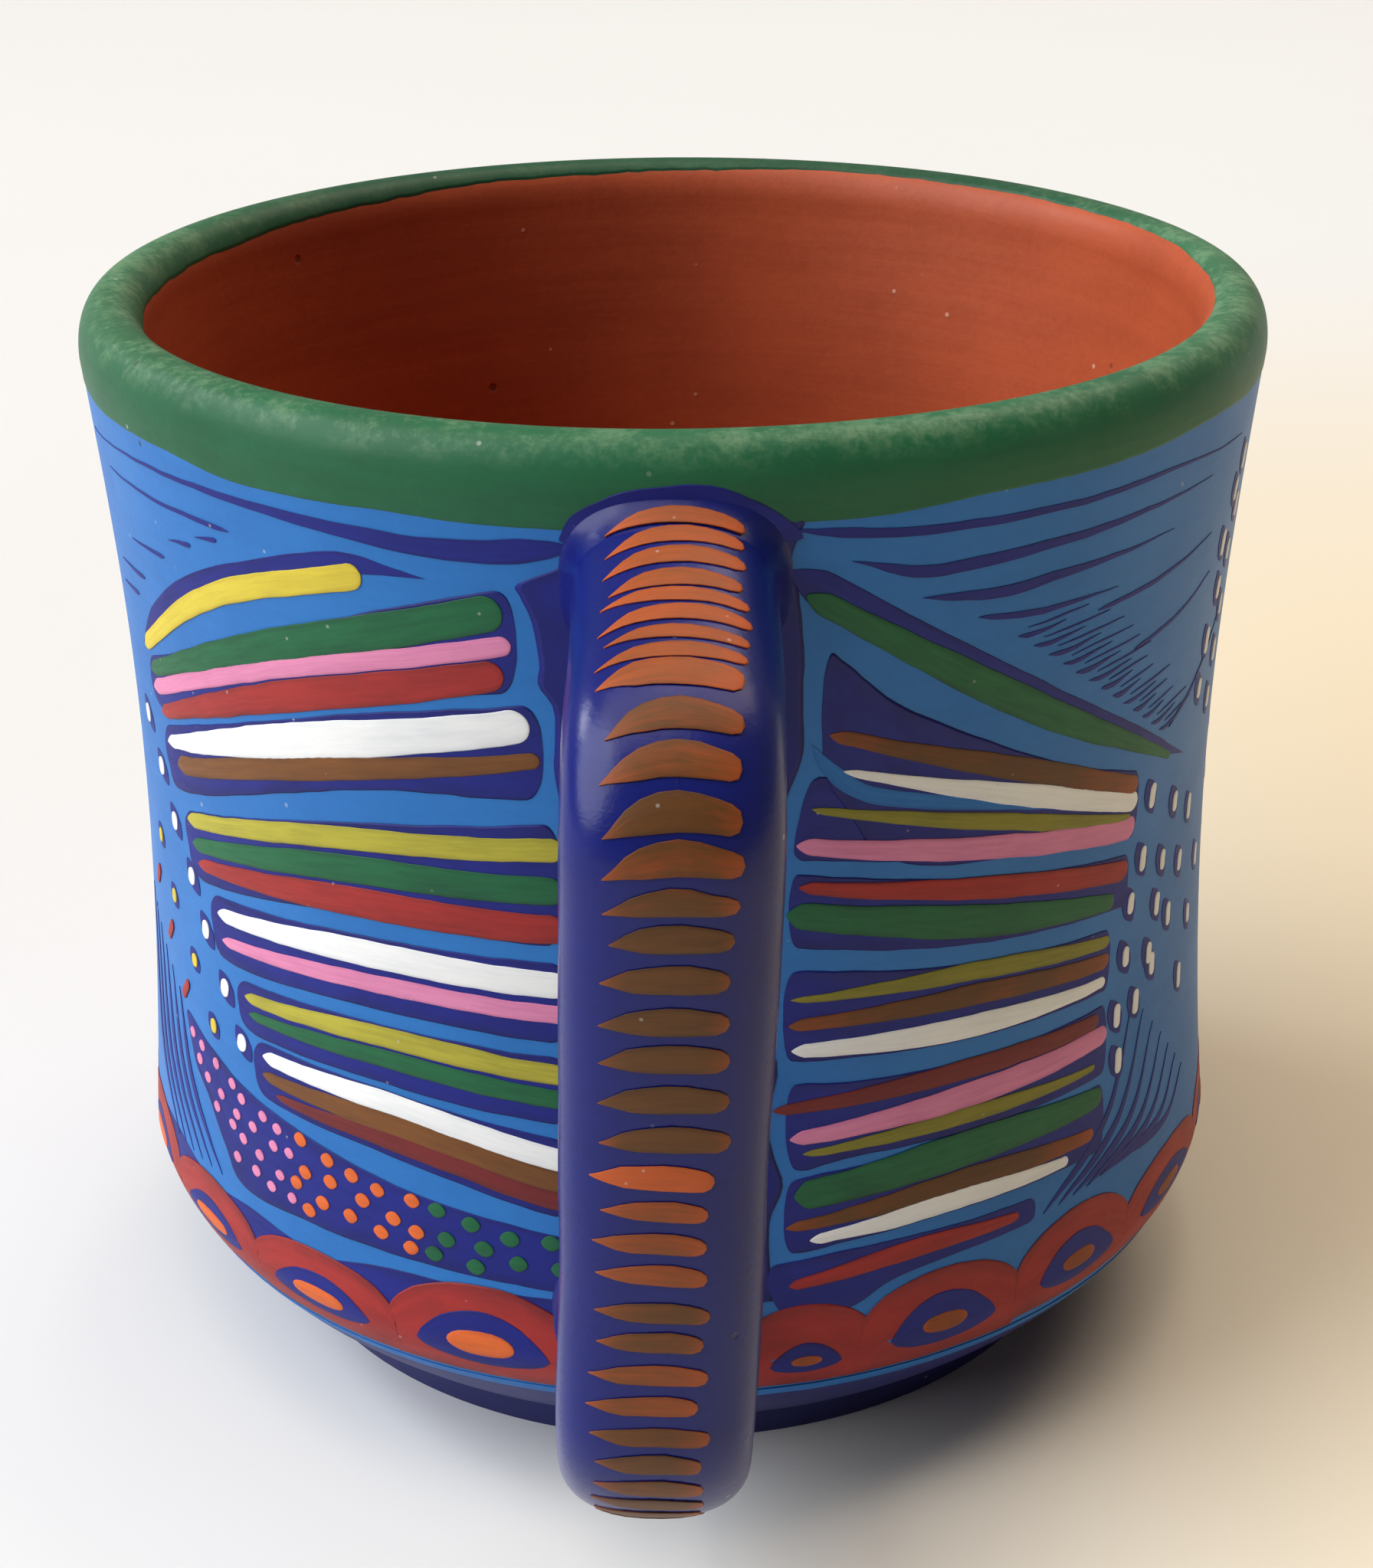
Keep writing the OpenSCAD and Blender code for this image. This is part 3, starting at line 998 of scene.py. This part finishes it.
def paint_left_fan(by):
    """The fan of colour bars on the left of a stem, with its dotted tail and its rows of beads."""
    arc = ((-64.3, 65), (-59, 68.8), (-49, 73.4), (-38, 77), (-28.5, 79.1), (-21, 78.9))
    flat_stroke(turned(arc, by), (1.2, 2, 2.2, 2, 1.8, 0.8), POINTED, 0.2, FIELD_LIFT)
    for stations in LEFT_FIELDS:
        field_between(turned(stations, by))
    field_between(turned(DOTTED_FIELD, by), 0.6)
    paint_bars(LEFT_BARS, by)
    for place in chain((-67 + by, 58), (-48.6 + by, 34.8), 7):
        white_bead(place, 1.25, 1.6, 1.3, 1.6)
    for degrees, up in chain((-67 + by, 47), (-54.2 + by, 34.4), 4):
        flat_stroke([(degrees - 1.1, up + 0.9), (degrees + 1, up - 0.9)], 1.7, 0.3, 0.3, FIELD_LIFT)
        dot("yellow", (degrees, up), 1.05, 1.25)
    for place in chain((-70 + by, 42.5), (-60.5 + by, 35), 3):
        dot("red", place, 0.9, 1.9, 0.9)
    paint_dotted_tail(by)
    for i in range(6):
        aside = by - 2.4 - 2.5 * i
        low_end = (-50.6 + aside * 0.9 + by * 0.1, 20.9 - 0.2 * i)
        sweep = [(-60.8 + aside, 34.5 + i), (-57.6 + aside, 27.4), low_end]
        flat_stroke(sweep, (0.5, 0.8, 0.5), POINTED, POINTED)


def paint_dotted_tail(by):
    """Rows of dots down the tail: pink at its point, then orange, then green by the stem."""
    for row in range(5):
        degrees = -59.3 + 1.4 * (row % 2)
        while degrees < -9:
            _, paint, reach, pitch = next(kind for kind in TAIL_DOTS if degrees <= kind[0])
            top, bottom = tail_edges(degrees)
            up = top - 1 - 1.95 * row
            if up > bottom + 0.5:
                middle = up + chance.uniform(-0.35, 0.35)
                oval(paint, degrees + by + chance.uniform(-0.6, 0.6), middle, reach, reach * 1.45, None)
            degrees += pitch


def tail_edges(degrees):
    """Top and bottom of the dotted tail at an angle."""
    for (a, top_a, low_a), (b, top_b, low_b) in zip(DOTTED_FIELD, DOTTED_FIELD[1:]):
        if a <= degrees <= b:
            share = (degrees - a) / (b - a)
            return top_a + (top_b - top_a) * share, low_a + (low_b - low_a) * share
    return 0.0, 0.0


def paint_right_fan(by):
    """The fan of colour bars on the right of a stem, with its beads."""
    edge = ((9.4, 80.2), (24, 72.4), (38, 65.4), (53, 58.8), (61, 55.7))
    flat_stroke(turned(edge, by), (2.6, 2.7, 2.6, 1.7, 0.8), BLUNT, 0.2, FIELD_LIFT)
    for stations in RIGHT_FIELDS:
        field_between(turned(stations, by), 0.8)
    sliver = ((11.7, 66.9), (13.4, 64.8), (16.2, 62.9), (20, 61.7), (34, 58.8), (49.5, 54.4))
    flat_stroke(turned(sliver, by), (1.1, 1.3, 1.3, 1.3, 0.8, 0.4), 0.1, POINTED, paint="light_blue")
    paint_bars(RIGHT_BARS, by)
    for start, end, count in RIGHT_BEADS:
        for place in chain(*turned((start, end), by), count, 2.0):
            white_bead(place, 0.9, chance.uniform(1.7, 2.3), 1.7, 0.5)
    for i in range(7):
        low = (37.5 + i * 2.1 + by, 22.4 + 0.1 * i)
        high = (52 + i * 2.2 + by, 37 - i * 1.9)
        middle = ((low[0] + high[0]) / 2 + 2.6, (low[1] + high[1]) / 2 - 1.6)
        flat_stroke([low, middle, high], (0.9, 0.9, 0.4), POINTED, SHARP)


LONG_WEDGES = (
    (((-8, 82.1), (-19.5, 81.3), (-37, 81.9), (-56, 81.8), (-72, 81)), (2.1, 1.6, 0.9, 0.5, 0.3)),
    (((9.5, 83.2), (20, 82.3), (37, 82.1), (50, 82.1), (66, 81.2)), (0.7, 0.7, 0.65, 0.5, 0.3)),
    (((14.5, 80.6), (21, 79.2), (28, 79.3), (46, 79.7), (58, 79.7)), (0.3, 0.9, 1, 0.7, 0.3)),
    (((21, 77.2), (28.5, 76.6), (36, 76.9), (51, 77.1)), (0.3, 0.9, 0.85, 0.35)),
    (((26.6, 75), (33, 74.4), (43, 74.4)), (0.3, 0.6, 0.3)),
    (((40.5, 73), (50, 73.5), (60.5, 74.5)), (0.3, 0.4, 0.3)),
    (((56, 59.4), (62, 61.6), (69, 65.5)), (0.3, 0.35, 0.3)),
    (((47, 68.4), (55, 69.4), (62, 71)), (0.3, 0.35, 0.3)),
    (((-42, 79.3), (-66, 79.2)), (0.42, 0.3)),
    (((-54, 74.7), (-62, 74.3)), (0.38, 0.3)),
    (((-44, 78.2), (-47.5, 77.7)), (0.42, 0.3)),
    (((-48.4, 76.9), (-52.5, 76.5)), (0.42, 0.3)),
    (((-60, 71.5), (-68, 71.2)), (0.38, 0.3)),
    (((-63, 69.4), (-69, 69)), (0.38, 0.3)),
)
STEPPED_TICKS = 13


def paint_upper_ticks(by):
    """Cobalt wedges under the rim, which step down beside the green bar and shorten."""
    for path, widths in LONG_WEDGES:
        flat_stroke(turned(path, by), widths, 0.08, SHARP)
    for i in range(STEPPED_TICKS):
        start = (31 + 1.9 * i + by, 72.8 - 1.08 * i)
        length = chance.uniform(5, 7.2) - 0.16 * i
        path = [start, (start[0] + length / 3, start[1] - 0.1), (start[0] + length, start[1] + 0.35)]
        thick = chance.uniform(0.3, 0.45)
        flat_stroke(path, (thick * 0.7, thick, 0.25), 0.15, SHARP)
        fine = [(start[0] + 1, start[1] + 0.5), (start[0] + length * 1.5, start[1] + 1)]
        flat_stroke(fine, 0.26, SHARP, SHARP)


# Height, left edge and right edge of the dark stem between two fans, in degrees
STEM_ROWS = (
    (83.8, -8.6, 10.4), (81, -8.8, 9.4), (79.3, -12.9, 10), (78.3, -12.8, 10.2), (76.5, -11.9, 10.5),
    (73.6, -11.4, 10.8), (71.7, -11.6, 10.8), (70, -10.4, 10.8), (67, -10.4, 11), (65.2, -10.6, 10.7),
    (62.7, -10.2, 9.5), (60, -9.3, 9), (57, -9, 8.7), (50, -8.7, 8.5), (44, -8.7, 8.2), (40.6, -8.7, 9.1),
    (37, -8.8, 8.2), (34, -8.8, 8.5), (31, -8.7, 9.5), (28, -8.7, 8.3), (25, -8.7, 8.2), (21, -8.6, 8.5),
)
STEM_STEPS = 90


def paint_stem(by):
    """The dark stem between two fans, with a line of the light blue left bare on each side."""
    lefts = [(left + by, up) for up, left, _ in STEM_ROWS]
    rights = [(right + by, up) for up, _, right in STEM_ROWS]
    fill_between(rights, lefts, STEM_STEPS)


ROOT_SMEAR = (
    (-9.3, 83, 82.4), (-8.2, 84.4, 82.4), (-6, 85.5, 82.4), (-3, 86.1, 83), (0, 86.3, 83),
    (3, 86.2, 83), (6, 85.6, 82.4), (8.4, 84.5, 82.4), (10.3, 83, 82.4),
)


def paint_root_smear():
    """Cobalt that runs from the handle's upper root onto the green of the rim."""
    field_between(ROOT_SMEAR, 0.8, 0.12 * MM)


def scallop_row():
    """Every arch of the row: those that are seen, and an even row round the rest of the belly."""
    last = SCALLOPS[-1]
    start = last[0] + last[1]
    half = (360 + SCALLOPS[0][0] - SCALLOPS[0][1] - start) / FARTHER_SCALLOPS / 2
    farther = [(start + half * (2 * i + 1), half + 0.2, 20.6, 16.8, 13.8, 2.2)
               for i in range(FARTHER_SCALLOPS)]
    return list(SCALLOPS) + farther


def oval(paint, centre, middle, reach, tall, seed):
    """A flat oval dab, from its middle, its reach to each side in degrees and its height."""
    path = [(centre + reach * x, middle) for x in (-1, -0.55, 0, 0.55, 1)]
    widths = [tall * share for share in (0.5, 0.86, 1, 0.86, 0.5)]
    stroke(paint, path, widths, ROUND, ROUND, DOT_LIFT, seed=seed)


def paint_scallops():
    """The ring of red arches round the belly, each over a cobalt eye with an orange pupil."""
    row = scallop_row()
    for i, (centre, half, top, cusp, base, thick) in enumerate(row):
        arch = [(centre + half * 1.03 * x, cusp + (top - cusp) * (1 - x * x) ** 0.5, base - 0.8)
                for x in (-1, -0.93, -0.7, -0.35, 0, 0.35, 0.7, 0.93, 1)]
        field_between(arch, 0.1, LINE_LIFT, "red")
        reach = half - 2.9
        crest = top - thick
        low = base + 0.8
        corner = low + (crest - low) * 0.3
        eye = [(centre + reach * x, corner + (crest - corner) * (1 - x * x) ** 0.8,
                corner - (corner - low) * (1 - x * x) ** 0.6)
               for x in (-0.99, -0.85, -0.5, 0, 0.5, 0.85, 0.99)]
        field_between(eye, 0.5, BAR_LIFT)
        bright = centre < 0 or centre > 80
        middle = low + (crest - low) * 0.43
        if bright:
            oval("orange", centre, middle, reach * chance.uniform(0.5, 0.58), (crest - low) * 0.45, None)
            left, _, left_top, *_ = row[i - 1]
            valley = centre - half
            left = valley - (valley - left) % 360
            gap = ((left + 1, left_top - 0.4, 17.6), (valley, (left_top + top) / 2 + 0.2, 16.4),
                   (centre - 1, top - 0.4, 17.6))
            field_between(gap, 0.1, GAP_LIFT)
        else:
            oval("dash_orange", centre, middle, reach * 0.42, (crest - low) * 0.36, 0.4)
    ring("light_blue", 11.3, 1.1, 0.35, BAR_LIFT)


def ring(paint, height, width, waver, lift):
    """A line all the way round, drawn in four strokes that run into each other."""
    for quarter in range(4):
        start = -180 + quarter * 90
        path = [(start - 3 + 24 * i, height + waver * math.sin(math.radians((start + 24 * i) * 3)))
                for i in range(5)]
        stroke(paint, path, width, ROUND, ROUND, lift + quarter * 0.003 * MM, RING_DOME)


# The leaf's low end, height and half width, and the steps along it
LEAF_LOW = 28
LEAF_TALL = 48
LEAF_REACH = 6.2
LEAF_STEPS = 48
LEAF_HUES = ("yellow", "white", "pink", "bar_green", "orange", "white", "red", "olive", "white", "pink")


def leaf_reach(up, widest=LEAF_REACH):
    """How far the leaf's edge is from its middle at a height, in degrees."""
    return widest * math.sin(math.pi * (up - LEAF_LOW) / LEAF_TALL) ** 0.8


def paint_leaf(centre):
    """A tall leaf on a side that the photograph doesn't show, with short bars and beads."""
    heights = [LEAF_LOW + LEAF_TALL * i / 8 for i in range(9)]
    rights = [(centre + leaf_reach(up), up) for up in heights]
    lefts = [(centre - leaf_reach(up), up) for up in heights]
    fill_between(lefts, rights, LEAF_STEPS)
    for i, paint in enumerate(LEAF_HUES):
        up = 34 + 3.7 * i
        reach = leaf_reach(up, 5.2) - 0.8
        for side in (-1, 1):
            stroke(paint, [(centre + side * reach, up + 1.2), (centre + side * 0.9, up)], 1.6)
    for side in (-1, 1):
        for i in range(9):
            up = 32 + 5 * i
            reach = leaf_reach(up) + 2.6
            white_bead((centre + side * reach, up), 1.1, 1.6, 1.1, 0.8)


def paint_back_dashes():
    """Dashes up the stem on the back, like those on the handle."""
    for i in range(20):
        up = 24 + 2.9 * i
        path = [(180 - 5.8, up - 0.3), (180, up + 0.15), (180 + 5.4, up)]
        stroke("dash_orange", path, 1.7 + chance.uniform(-0.15, 0.15), 0.5, ROUND)


def draw_wall():
    for by in (0, 180):
        paint_stem(by)
        paint_left_fan(by)
        paint_right_fan(by)
        paint_upper_ticks(by)
    for centre in (90.5, -90.5):
        paint_leaf(centre)
    paint_root_smear()
    paint_scallops()
    paint_back_dashes()


# Meshes of the strokes

# Section of a stroke: places across it as shares of its half width, and whether each is on its top
SECTION = [(-math.cos(math.pi * i / 10), True) for i in range(11)]
SECTION += [(share, False) for share in (0.9, 0.0, -0.9)]
# Strokes that lie over each other differ a little in height, in turn
LIFT_TURNS = 7
LIFT_STEP = 0.0015 * MM


def strokes_mesh(name, drawn):
    """One flat mesh of closed strips, domed on top and sunk below, with where the brush went."""
    points = []
    faces = []
    brush = []
    runs = []
    size = len(SECTION)
    for order, (edges, lift, dome, own_seed) in enumerate(drawn):
        first = len(points)
        seed = chance.random() if own_seed is None else own_seed
        lift += (order % LIFT_TURNS) * LIFT_STEP
        along = 0.0
        middles = [(a + b) / 2 for a, b in edges]
        length = line_length(middles)
        for i, (a, b) in enumerate(edges):
            along += (middles[i] - middles[max(i - 1, 0)]).length
            half = (b - a).length / 2
            for share, on_top in SECTION:
                place = middles[i] + (b - a) / 2 * share
                swell = min(dome * half, DOME_LIMIT) * math.sqrt(max(0.0, 1 - share * share))
                points.append((place.x, place.y, lift + swell if on_top else -PAINT_SINK))
                brush.append((along, share, seed))
                runs.append(along / length)
        last = len(points) - size
        for here in range(first, last, size):
            there = here + size
            for j in range(size):
                k = (j + 1) % size
                faces.append((here + j, there + j, there + k, here + k))
        faces.append(tuple(first + j for j in range(size)))
        faces.append(tuple(last + j for j in reversed(range(size))))
    mesh = bpy.data.meshes.new(name)
    mesh.from_pydata(points, [], faces)
    brush_layer = mesh.attributes.new("brush", "FLOAT_VECTOR", "POINT")
    brush_layer.data.foreach_set("vector", [number for place in brush for number in place])
    mesh.attributes.new("run_share", "FLOAT", "POINT").data.foreach_set("value", runs)
    return mesh


# Arcs over the arm of the handle: place along the strap, width and droop of the left end
ARM_DASHES = (
    (3.2, 1.25, 0.9), (4.9, 1.6, 1.7), (7.1, 1.8, 1.8), (9.6, 1.8, 1.5), (11.5, 1.45, 0.8),
    (13.4, 1.6, 1.7), (15.5, 1.3, 0.9), (17.3, 1.45, 1.3), (19, 1.6, 0.8),
)
# Groups of dashes below them: how many, their first place and spacing, their width, how far
# their left ends droop, their left and right ends, and how orange they are
DASH_GROUPS = (
    (5, 21.1, 1.85, 1.4, 1.1, -4.4, 4.3, 0.04), (6, 30.7, 2.85, 1.9, 0.8, -4.1, 3.8, -0.06),
    (1, 47.8, 1, 1.75, 0.5, -4.6, 3.2, 0.85), (3, 50.2, 2.45, 1.6, 0.4, -4.4, 3, 0.36),
    (4, 57.9, 2.55, 1.55, 0.4, -4.4, 3, 0.14), (6, 68.1, 1.8, 1.3, 0.2, -4.2, 3.4, 0.02),
)


def handle_dash(along, width, droop, left, right, warmth):
    """A dash across the strap, pointed and drooping on its left, with its own share of orange."""
    left += chance.uniform(-0.35, 0.35)
    right += chance.uniform(-0.3, 0.3)
    path = [Vector((x * MM, -y * MM)) for x, y in (
        (left, along + droop), (left * 0.5, along + droop * 0.3), (0.7, along), (right, along + 0.35))]
    widths = [width * share for share in (0.42, 0.86, 1.03, 0.72)]
    edges = stroke_edges(path, widths, 0.26, ROUND)
    return edges, BAR_LIFT, DASH_DOME, warmth + chance.uniform(-0.1, 0.1)


def draw_handle_dashes():
    """Close arcs over the arm, then spaced dashes round the bend and down the face."""
    drawn = [handle_dash(along, width, droop, -4.7, 4.5, 0.55) for along, width, droop in ARM_DASHES]
    for count, first, pitch, width, droop, left, right, warmth in DASH_GROUPS:
        for i in range(count):
            along = first + pitch * i + chance.uniform(-0.12, 0.12)
            drawn.append(handle_dash(along, width * chance.uniform(0.94, 1.06), droop, left, right, warmth))
    return drawn


# Making the pieces

def make_clay(finishes):
    wall = grow("cup_wall", cup_wall_tree(), {"Paint": finishes["bare_terracotta"]})
    settle(wall, "bare_terracotta", ["cup_body"])
    tree = coat_tree()
    for name, slot, values in (
        ("light_blue_coat", "light_blue_paint", {
            "Lower edge": 8 * MM, "Upper edge": LIP_Z, "Thickness": COAT_LIFT}),
        ("belly_coat", "cobalt_paint", {
            "Lower edge": FOOT_H, "Upper edge": 11 * MM, "Thickness": FIELD_LIFT}),
        ("rim_band", "rim_green_paint", {
            "Lower edge": 84.3 * MM, "Upper edge": LIP_Z + LIP_RUN * 0.81, "Thickness": 0.09 * MM,
            "Lower waver": 1.4 * MM, "Upper waver": 1.1 * MM, "Front dip": 1.2 * MM,
            "Deeper on the left": MM, "Shallower behind": 0.9 * MM}),
    ):
        coat = grow(name, tree, values | {"Paint": finishes[slot]})
        settle(coat, slot)


def make_handle(finishes):
    points = strap_line()
    length = line_length(points)
    line = line_object("strap_line", points)
    common = {"Strap line": line, "Strap length": length}
    cobalt = {"Paint": finishes["handle_cobalt"]}
    strap = grow("strap", strap_tree(), common | cobalt)
    settle(strap, "handle_clay", ["handle"])
    for name, node, end, root, direction, slope in (
        ("upper_collar", "upper_luting_clay", 0.0, points[0], 1.0, ARM_SLOPE),
        ("lower_collar", "lower_luting_clay", length, points[-1], -1.0, 0.0),
    ):
        collar = grow(name, collar_tree(), common | cobalt | {
            "Root end": end, "Direction": direction, "Root reach": -root.y, "Arm height": root.z,
            "Arm slope": slope,
        })
        if direction < 0:
            collar.data.flip_normals()
        settle(collar, "luting_clay", [node])
    drawn = strokes_mesh("handle_dashes_flat", draw_handle_dashes())
    dashes = grow("handle_dashes", wrap_on_strap_tree(), common | {"Paint": finishes["dash_orange"]}, drawn)
    settle(dashes, "orange_paint")
    bpy.data.objects.remove(line)


# Paints whose own slot is that of a near hue
PAINT_SLOTS = {"dash_orange": "orange_paint", "yellow_olive": "yellow_paint"}


def make_strokes(finishes):
    draw_wall()
    tree = wrap_on_wall_tree()
    for paint, drawn in strokes.items():
        name = f"{paint}_strokes"
        piece = grow(name, tree, {"Paint": finishes[paint]}, strokes_mesh(name + "_flat", drawn))
        settle(piece, PAINT_SLOTS.get(paint, paint + "_paint"))


def make_finishes():
    finishes = {paint: stroke_paint(paint + "_paint", *hues) for paint, hues in PAINTS.items()}
    finishes["dash_orange"] = stroke_paint("dash_orange", (96, 60, 26), (58, 39, 21), warm=(186, 86, 39))
    finishes["bare_terracotta"] = bare_terracotta()
    finishes["light_blue_paint"] = coat_paint("light_blue_coat", *PAINTS["light_blue"])
    finishes["cobalt_paint"] = coat_paint("belly_cobalt", (28, 30, 103), (19, 19, 75))
    finishes["handle_cobalt"] = coat_paint(
        "handle_cobalt", (14, 25, 109), (9, 13, 75), shine=0.22, specular=0.27)
    finishes["rim_green_paint"] = coat_paint(
        "rim_green", (33, 96, 64), (14, 62, 40), worn=(111, 148, 113), specular=0.22)
    return finishes


def finish_foot():
    """The foot keeps its own solid and gets the dark coat of the underside."""
    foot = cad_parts["foot"]
    foot.data.materials.clear()
    foot.data.materials.append(coat_paint("foot_navy", (30, 32, 98), (19, 19, 66)))


# Stage

CAMERA_PLACE = Vector((0.0, -211.4, 140.2)) * MM
CAMERA_PITCH = 0.4310
CAMERA_YAW = 0.0042
CAMERA_ROLL = -0.0059
FRAME_HEIGHT_PX = 2047
FOCAL_PX = 3393
SENSOR_MM = 36
TABLE_HALF = 3.0


def make_camera():
    camera = bpy.data.cameras.new("camera")
    camera.sensor_width = SENSOR_MM
    camera.lens = FOCAL_PX * SENSOR_MM / FRAME_HEIGHT_PX
    camera.clip_start = 0.01
    right = Vector((math.cos(CAMERA_YAW), -math.sin(CAMERA_YAW), 0))
    ahead = Vector((math.sin(CAMERA_YAW), math.cos(CAMERA_YAW), 0))
    look = ahead * math.cos(CAMERA_PITCH) - Vector((0, 0, math.sin(CAMERA_PITCH)))
    up = ahead * math.sin(CAMERA_PITCH) + Vector((0, 0, math.cos(CAMERA_PITCH)))
    rolled_right = right * math.cos(CAMERA_ROLL) + up * math.sin(CAMERA_ROLL)
    rolled_up = up * math.cos(CAMERA_ROLL) - right * math.sin(CAMERA_ROLL)
    turn = Matrix((rolled_right, rolled_up, -look)).transposed().to_4x4()
    holder = add_object("camera", camera)
    holder.matrix_world = Matrix.Translation(CAMERA_PLACE) @ turn
    scene.camera = holder


def background_share(tree, mirrored):
    """1 where the camera looks at the background, also through glass, and less in reflections."""
    straight = field(tree, "ShaderNodeLightPath", {}, "Is Camera Ray")
    through = field(tree, "ShaderNodeLightPath", {}, "Is Transmission Ray")
    glossy = field(tree, "ShaderNodeLightPath", {}, "Is Glossy Ray")
    return clamp01(straight + through + glossy * mirrored)


def make_floor():
    """A pale tabletop that the mug stands on. Painted warm light colours its right, and in front near the
    handle the camera and reflections see a painted pool of light that does not light the mug.
    """
    material, tree = new_material("pale_table")
    place = object_place(tree)
    cloud = noise(tree, place, 6.0, 3.0)
    grain = noise(tree, place, 700.0, 2.0)
    x, y, _ = split(tree, place)
    # Painted warm light: the table right of the mug, short of its far part, is coloured warmer.
    painted_warm_light = step(tree, x, -0.04, 0.1) * (1 - step(tree, y, 0.1, 0.4))
    base = blend(tree, cloud, colour(216, 220, 224), colour(211, 214, 218))
    base = blend(tree, painted_warm_light, base, colour(217, 206, 183))
    # Painted light: in front, near the handle, the camera and reflections see the table paler than the
    # colour it bounces onto the mug.
    near = 1 - step(tree, y, -0.07, painted_warm_light * 0.07 + 0.05)
    pale = blend(tree, painted_warm_light, colour(238, 241, 243), colour(248, 239, 215))
    base = blend(tree, near * background_share(tree, 1.0), base, pale)
    surface(tree, base, mix(0.6, 0.75, cloud), grain, 0.02 * MM, 0.1, 0.2)
    corners = [(TABLE_HALF * x, TABLE_HALF * y, 0) for x, y in ((-1, -1), (1, -1), (1, 1), (-1, 1))]
    mesh = bpy.data.meshes.new("table")
    mesh.from_pydata(corners, [], [(0, 1, 2, 3)])
    mesh.materials.append(material)
    table = add_object("table", mesh)


def add_lamp(name, kind, energy, hue, place):
    """A lamp that shines from its place to the middle of the mug's base."""
    lamp = bpy.data.lights.new(name, kind)
    lamp.energy = energy
    lamp.color = hue
    holder = add_object(name, lamp)
    holder.location = place
    holder.rotation_euler = Vector(place).to_track_quat("Z", "Y").to_euler()
    return lamp


def make_light():
    """Broad daylight from the left, with soft lamps above, behind on the right and low on the left."""
    daylight = add_lamp("daylight", "SUN", 3.2, (0.96, 0.985, 1.0), (-0.8, -0.22, 0.57))
    daylight.angle = math.radians(54)
    for name, energy, size, hue, place in (
        ("overhead", 25.5, 1.8, (1.0, 0.88, 0.74), (-0.6, 0.0, 2.4)),
        ("far window", 32.5, 1.8, (1.0, 0.82, 0.64), (0.9, 1.0, 2.2)),
        ("near window", 3.3, 0.26, (0.92, 0.96, 1.0), (-1.0, 0.42, 0.72)),
    ):
        add_lamp(name, "AREA", energy, hue, place).size = size


def make_room():
    """A pale room round the table. The camera and the reflections see it, and it lights the mug dimly."""
    world = bpy.data.worlds.new("room")
    world.use_nodes = True
    tree = world.node_tree
    shown = background_share(tree, 0.3)
    walls = tree.nodes["Background"]
    feed(walls.inputs["Color"], blend(tree, shown, (0.035, 0.029, 0.022, 1.0), colour(244, 242, 238)))
    scene.world = world


scene.view_settings.view_transform = "Standard"
make_camera()
made_finishes = make_finishes()
make_clay(made_finishes)
make_handle(made_finishes)
make_strokes(made_finishes)
finish_foot()
make_floor()
make_light()
make_room()
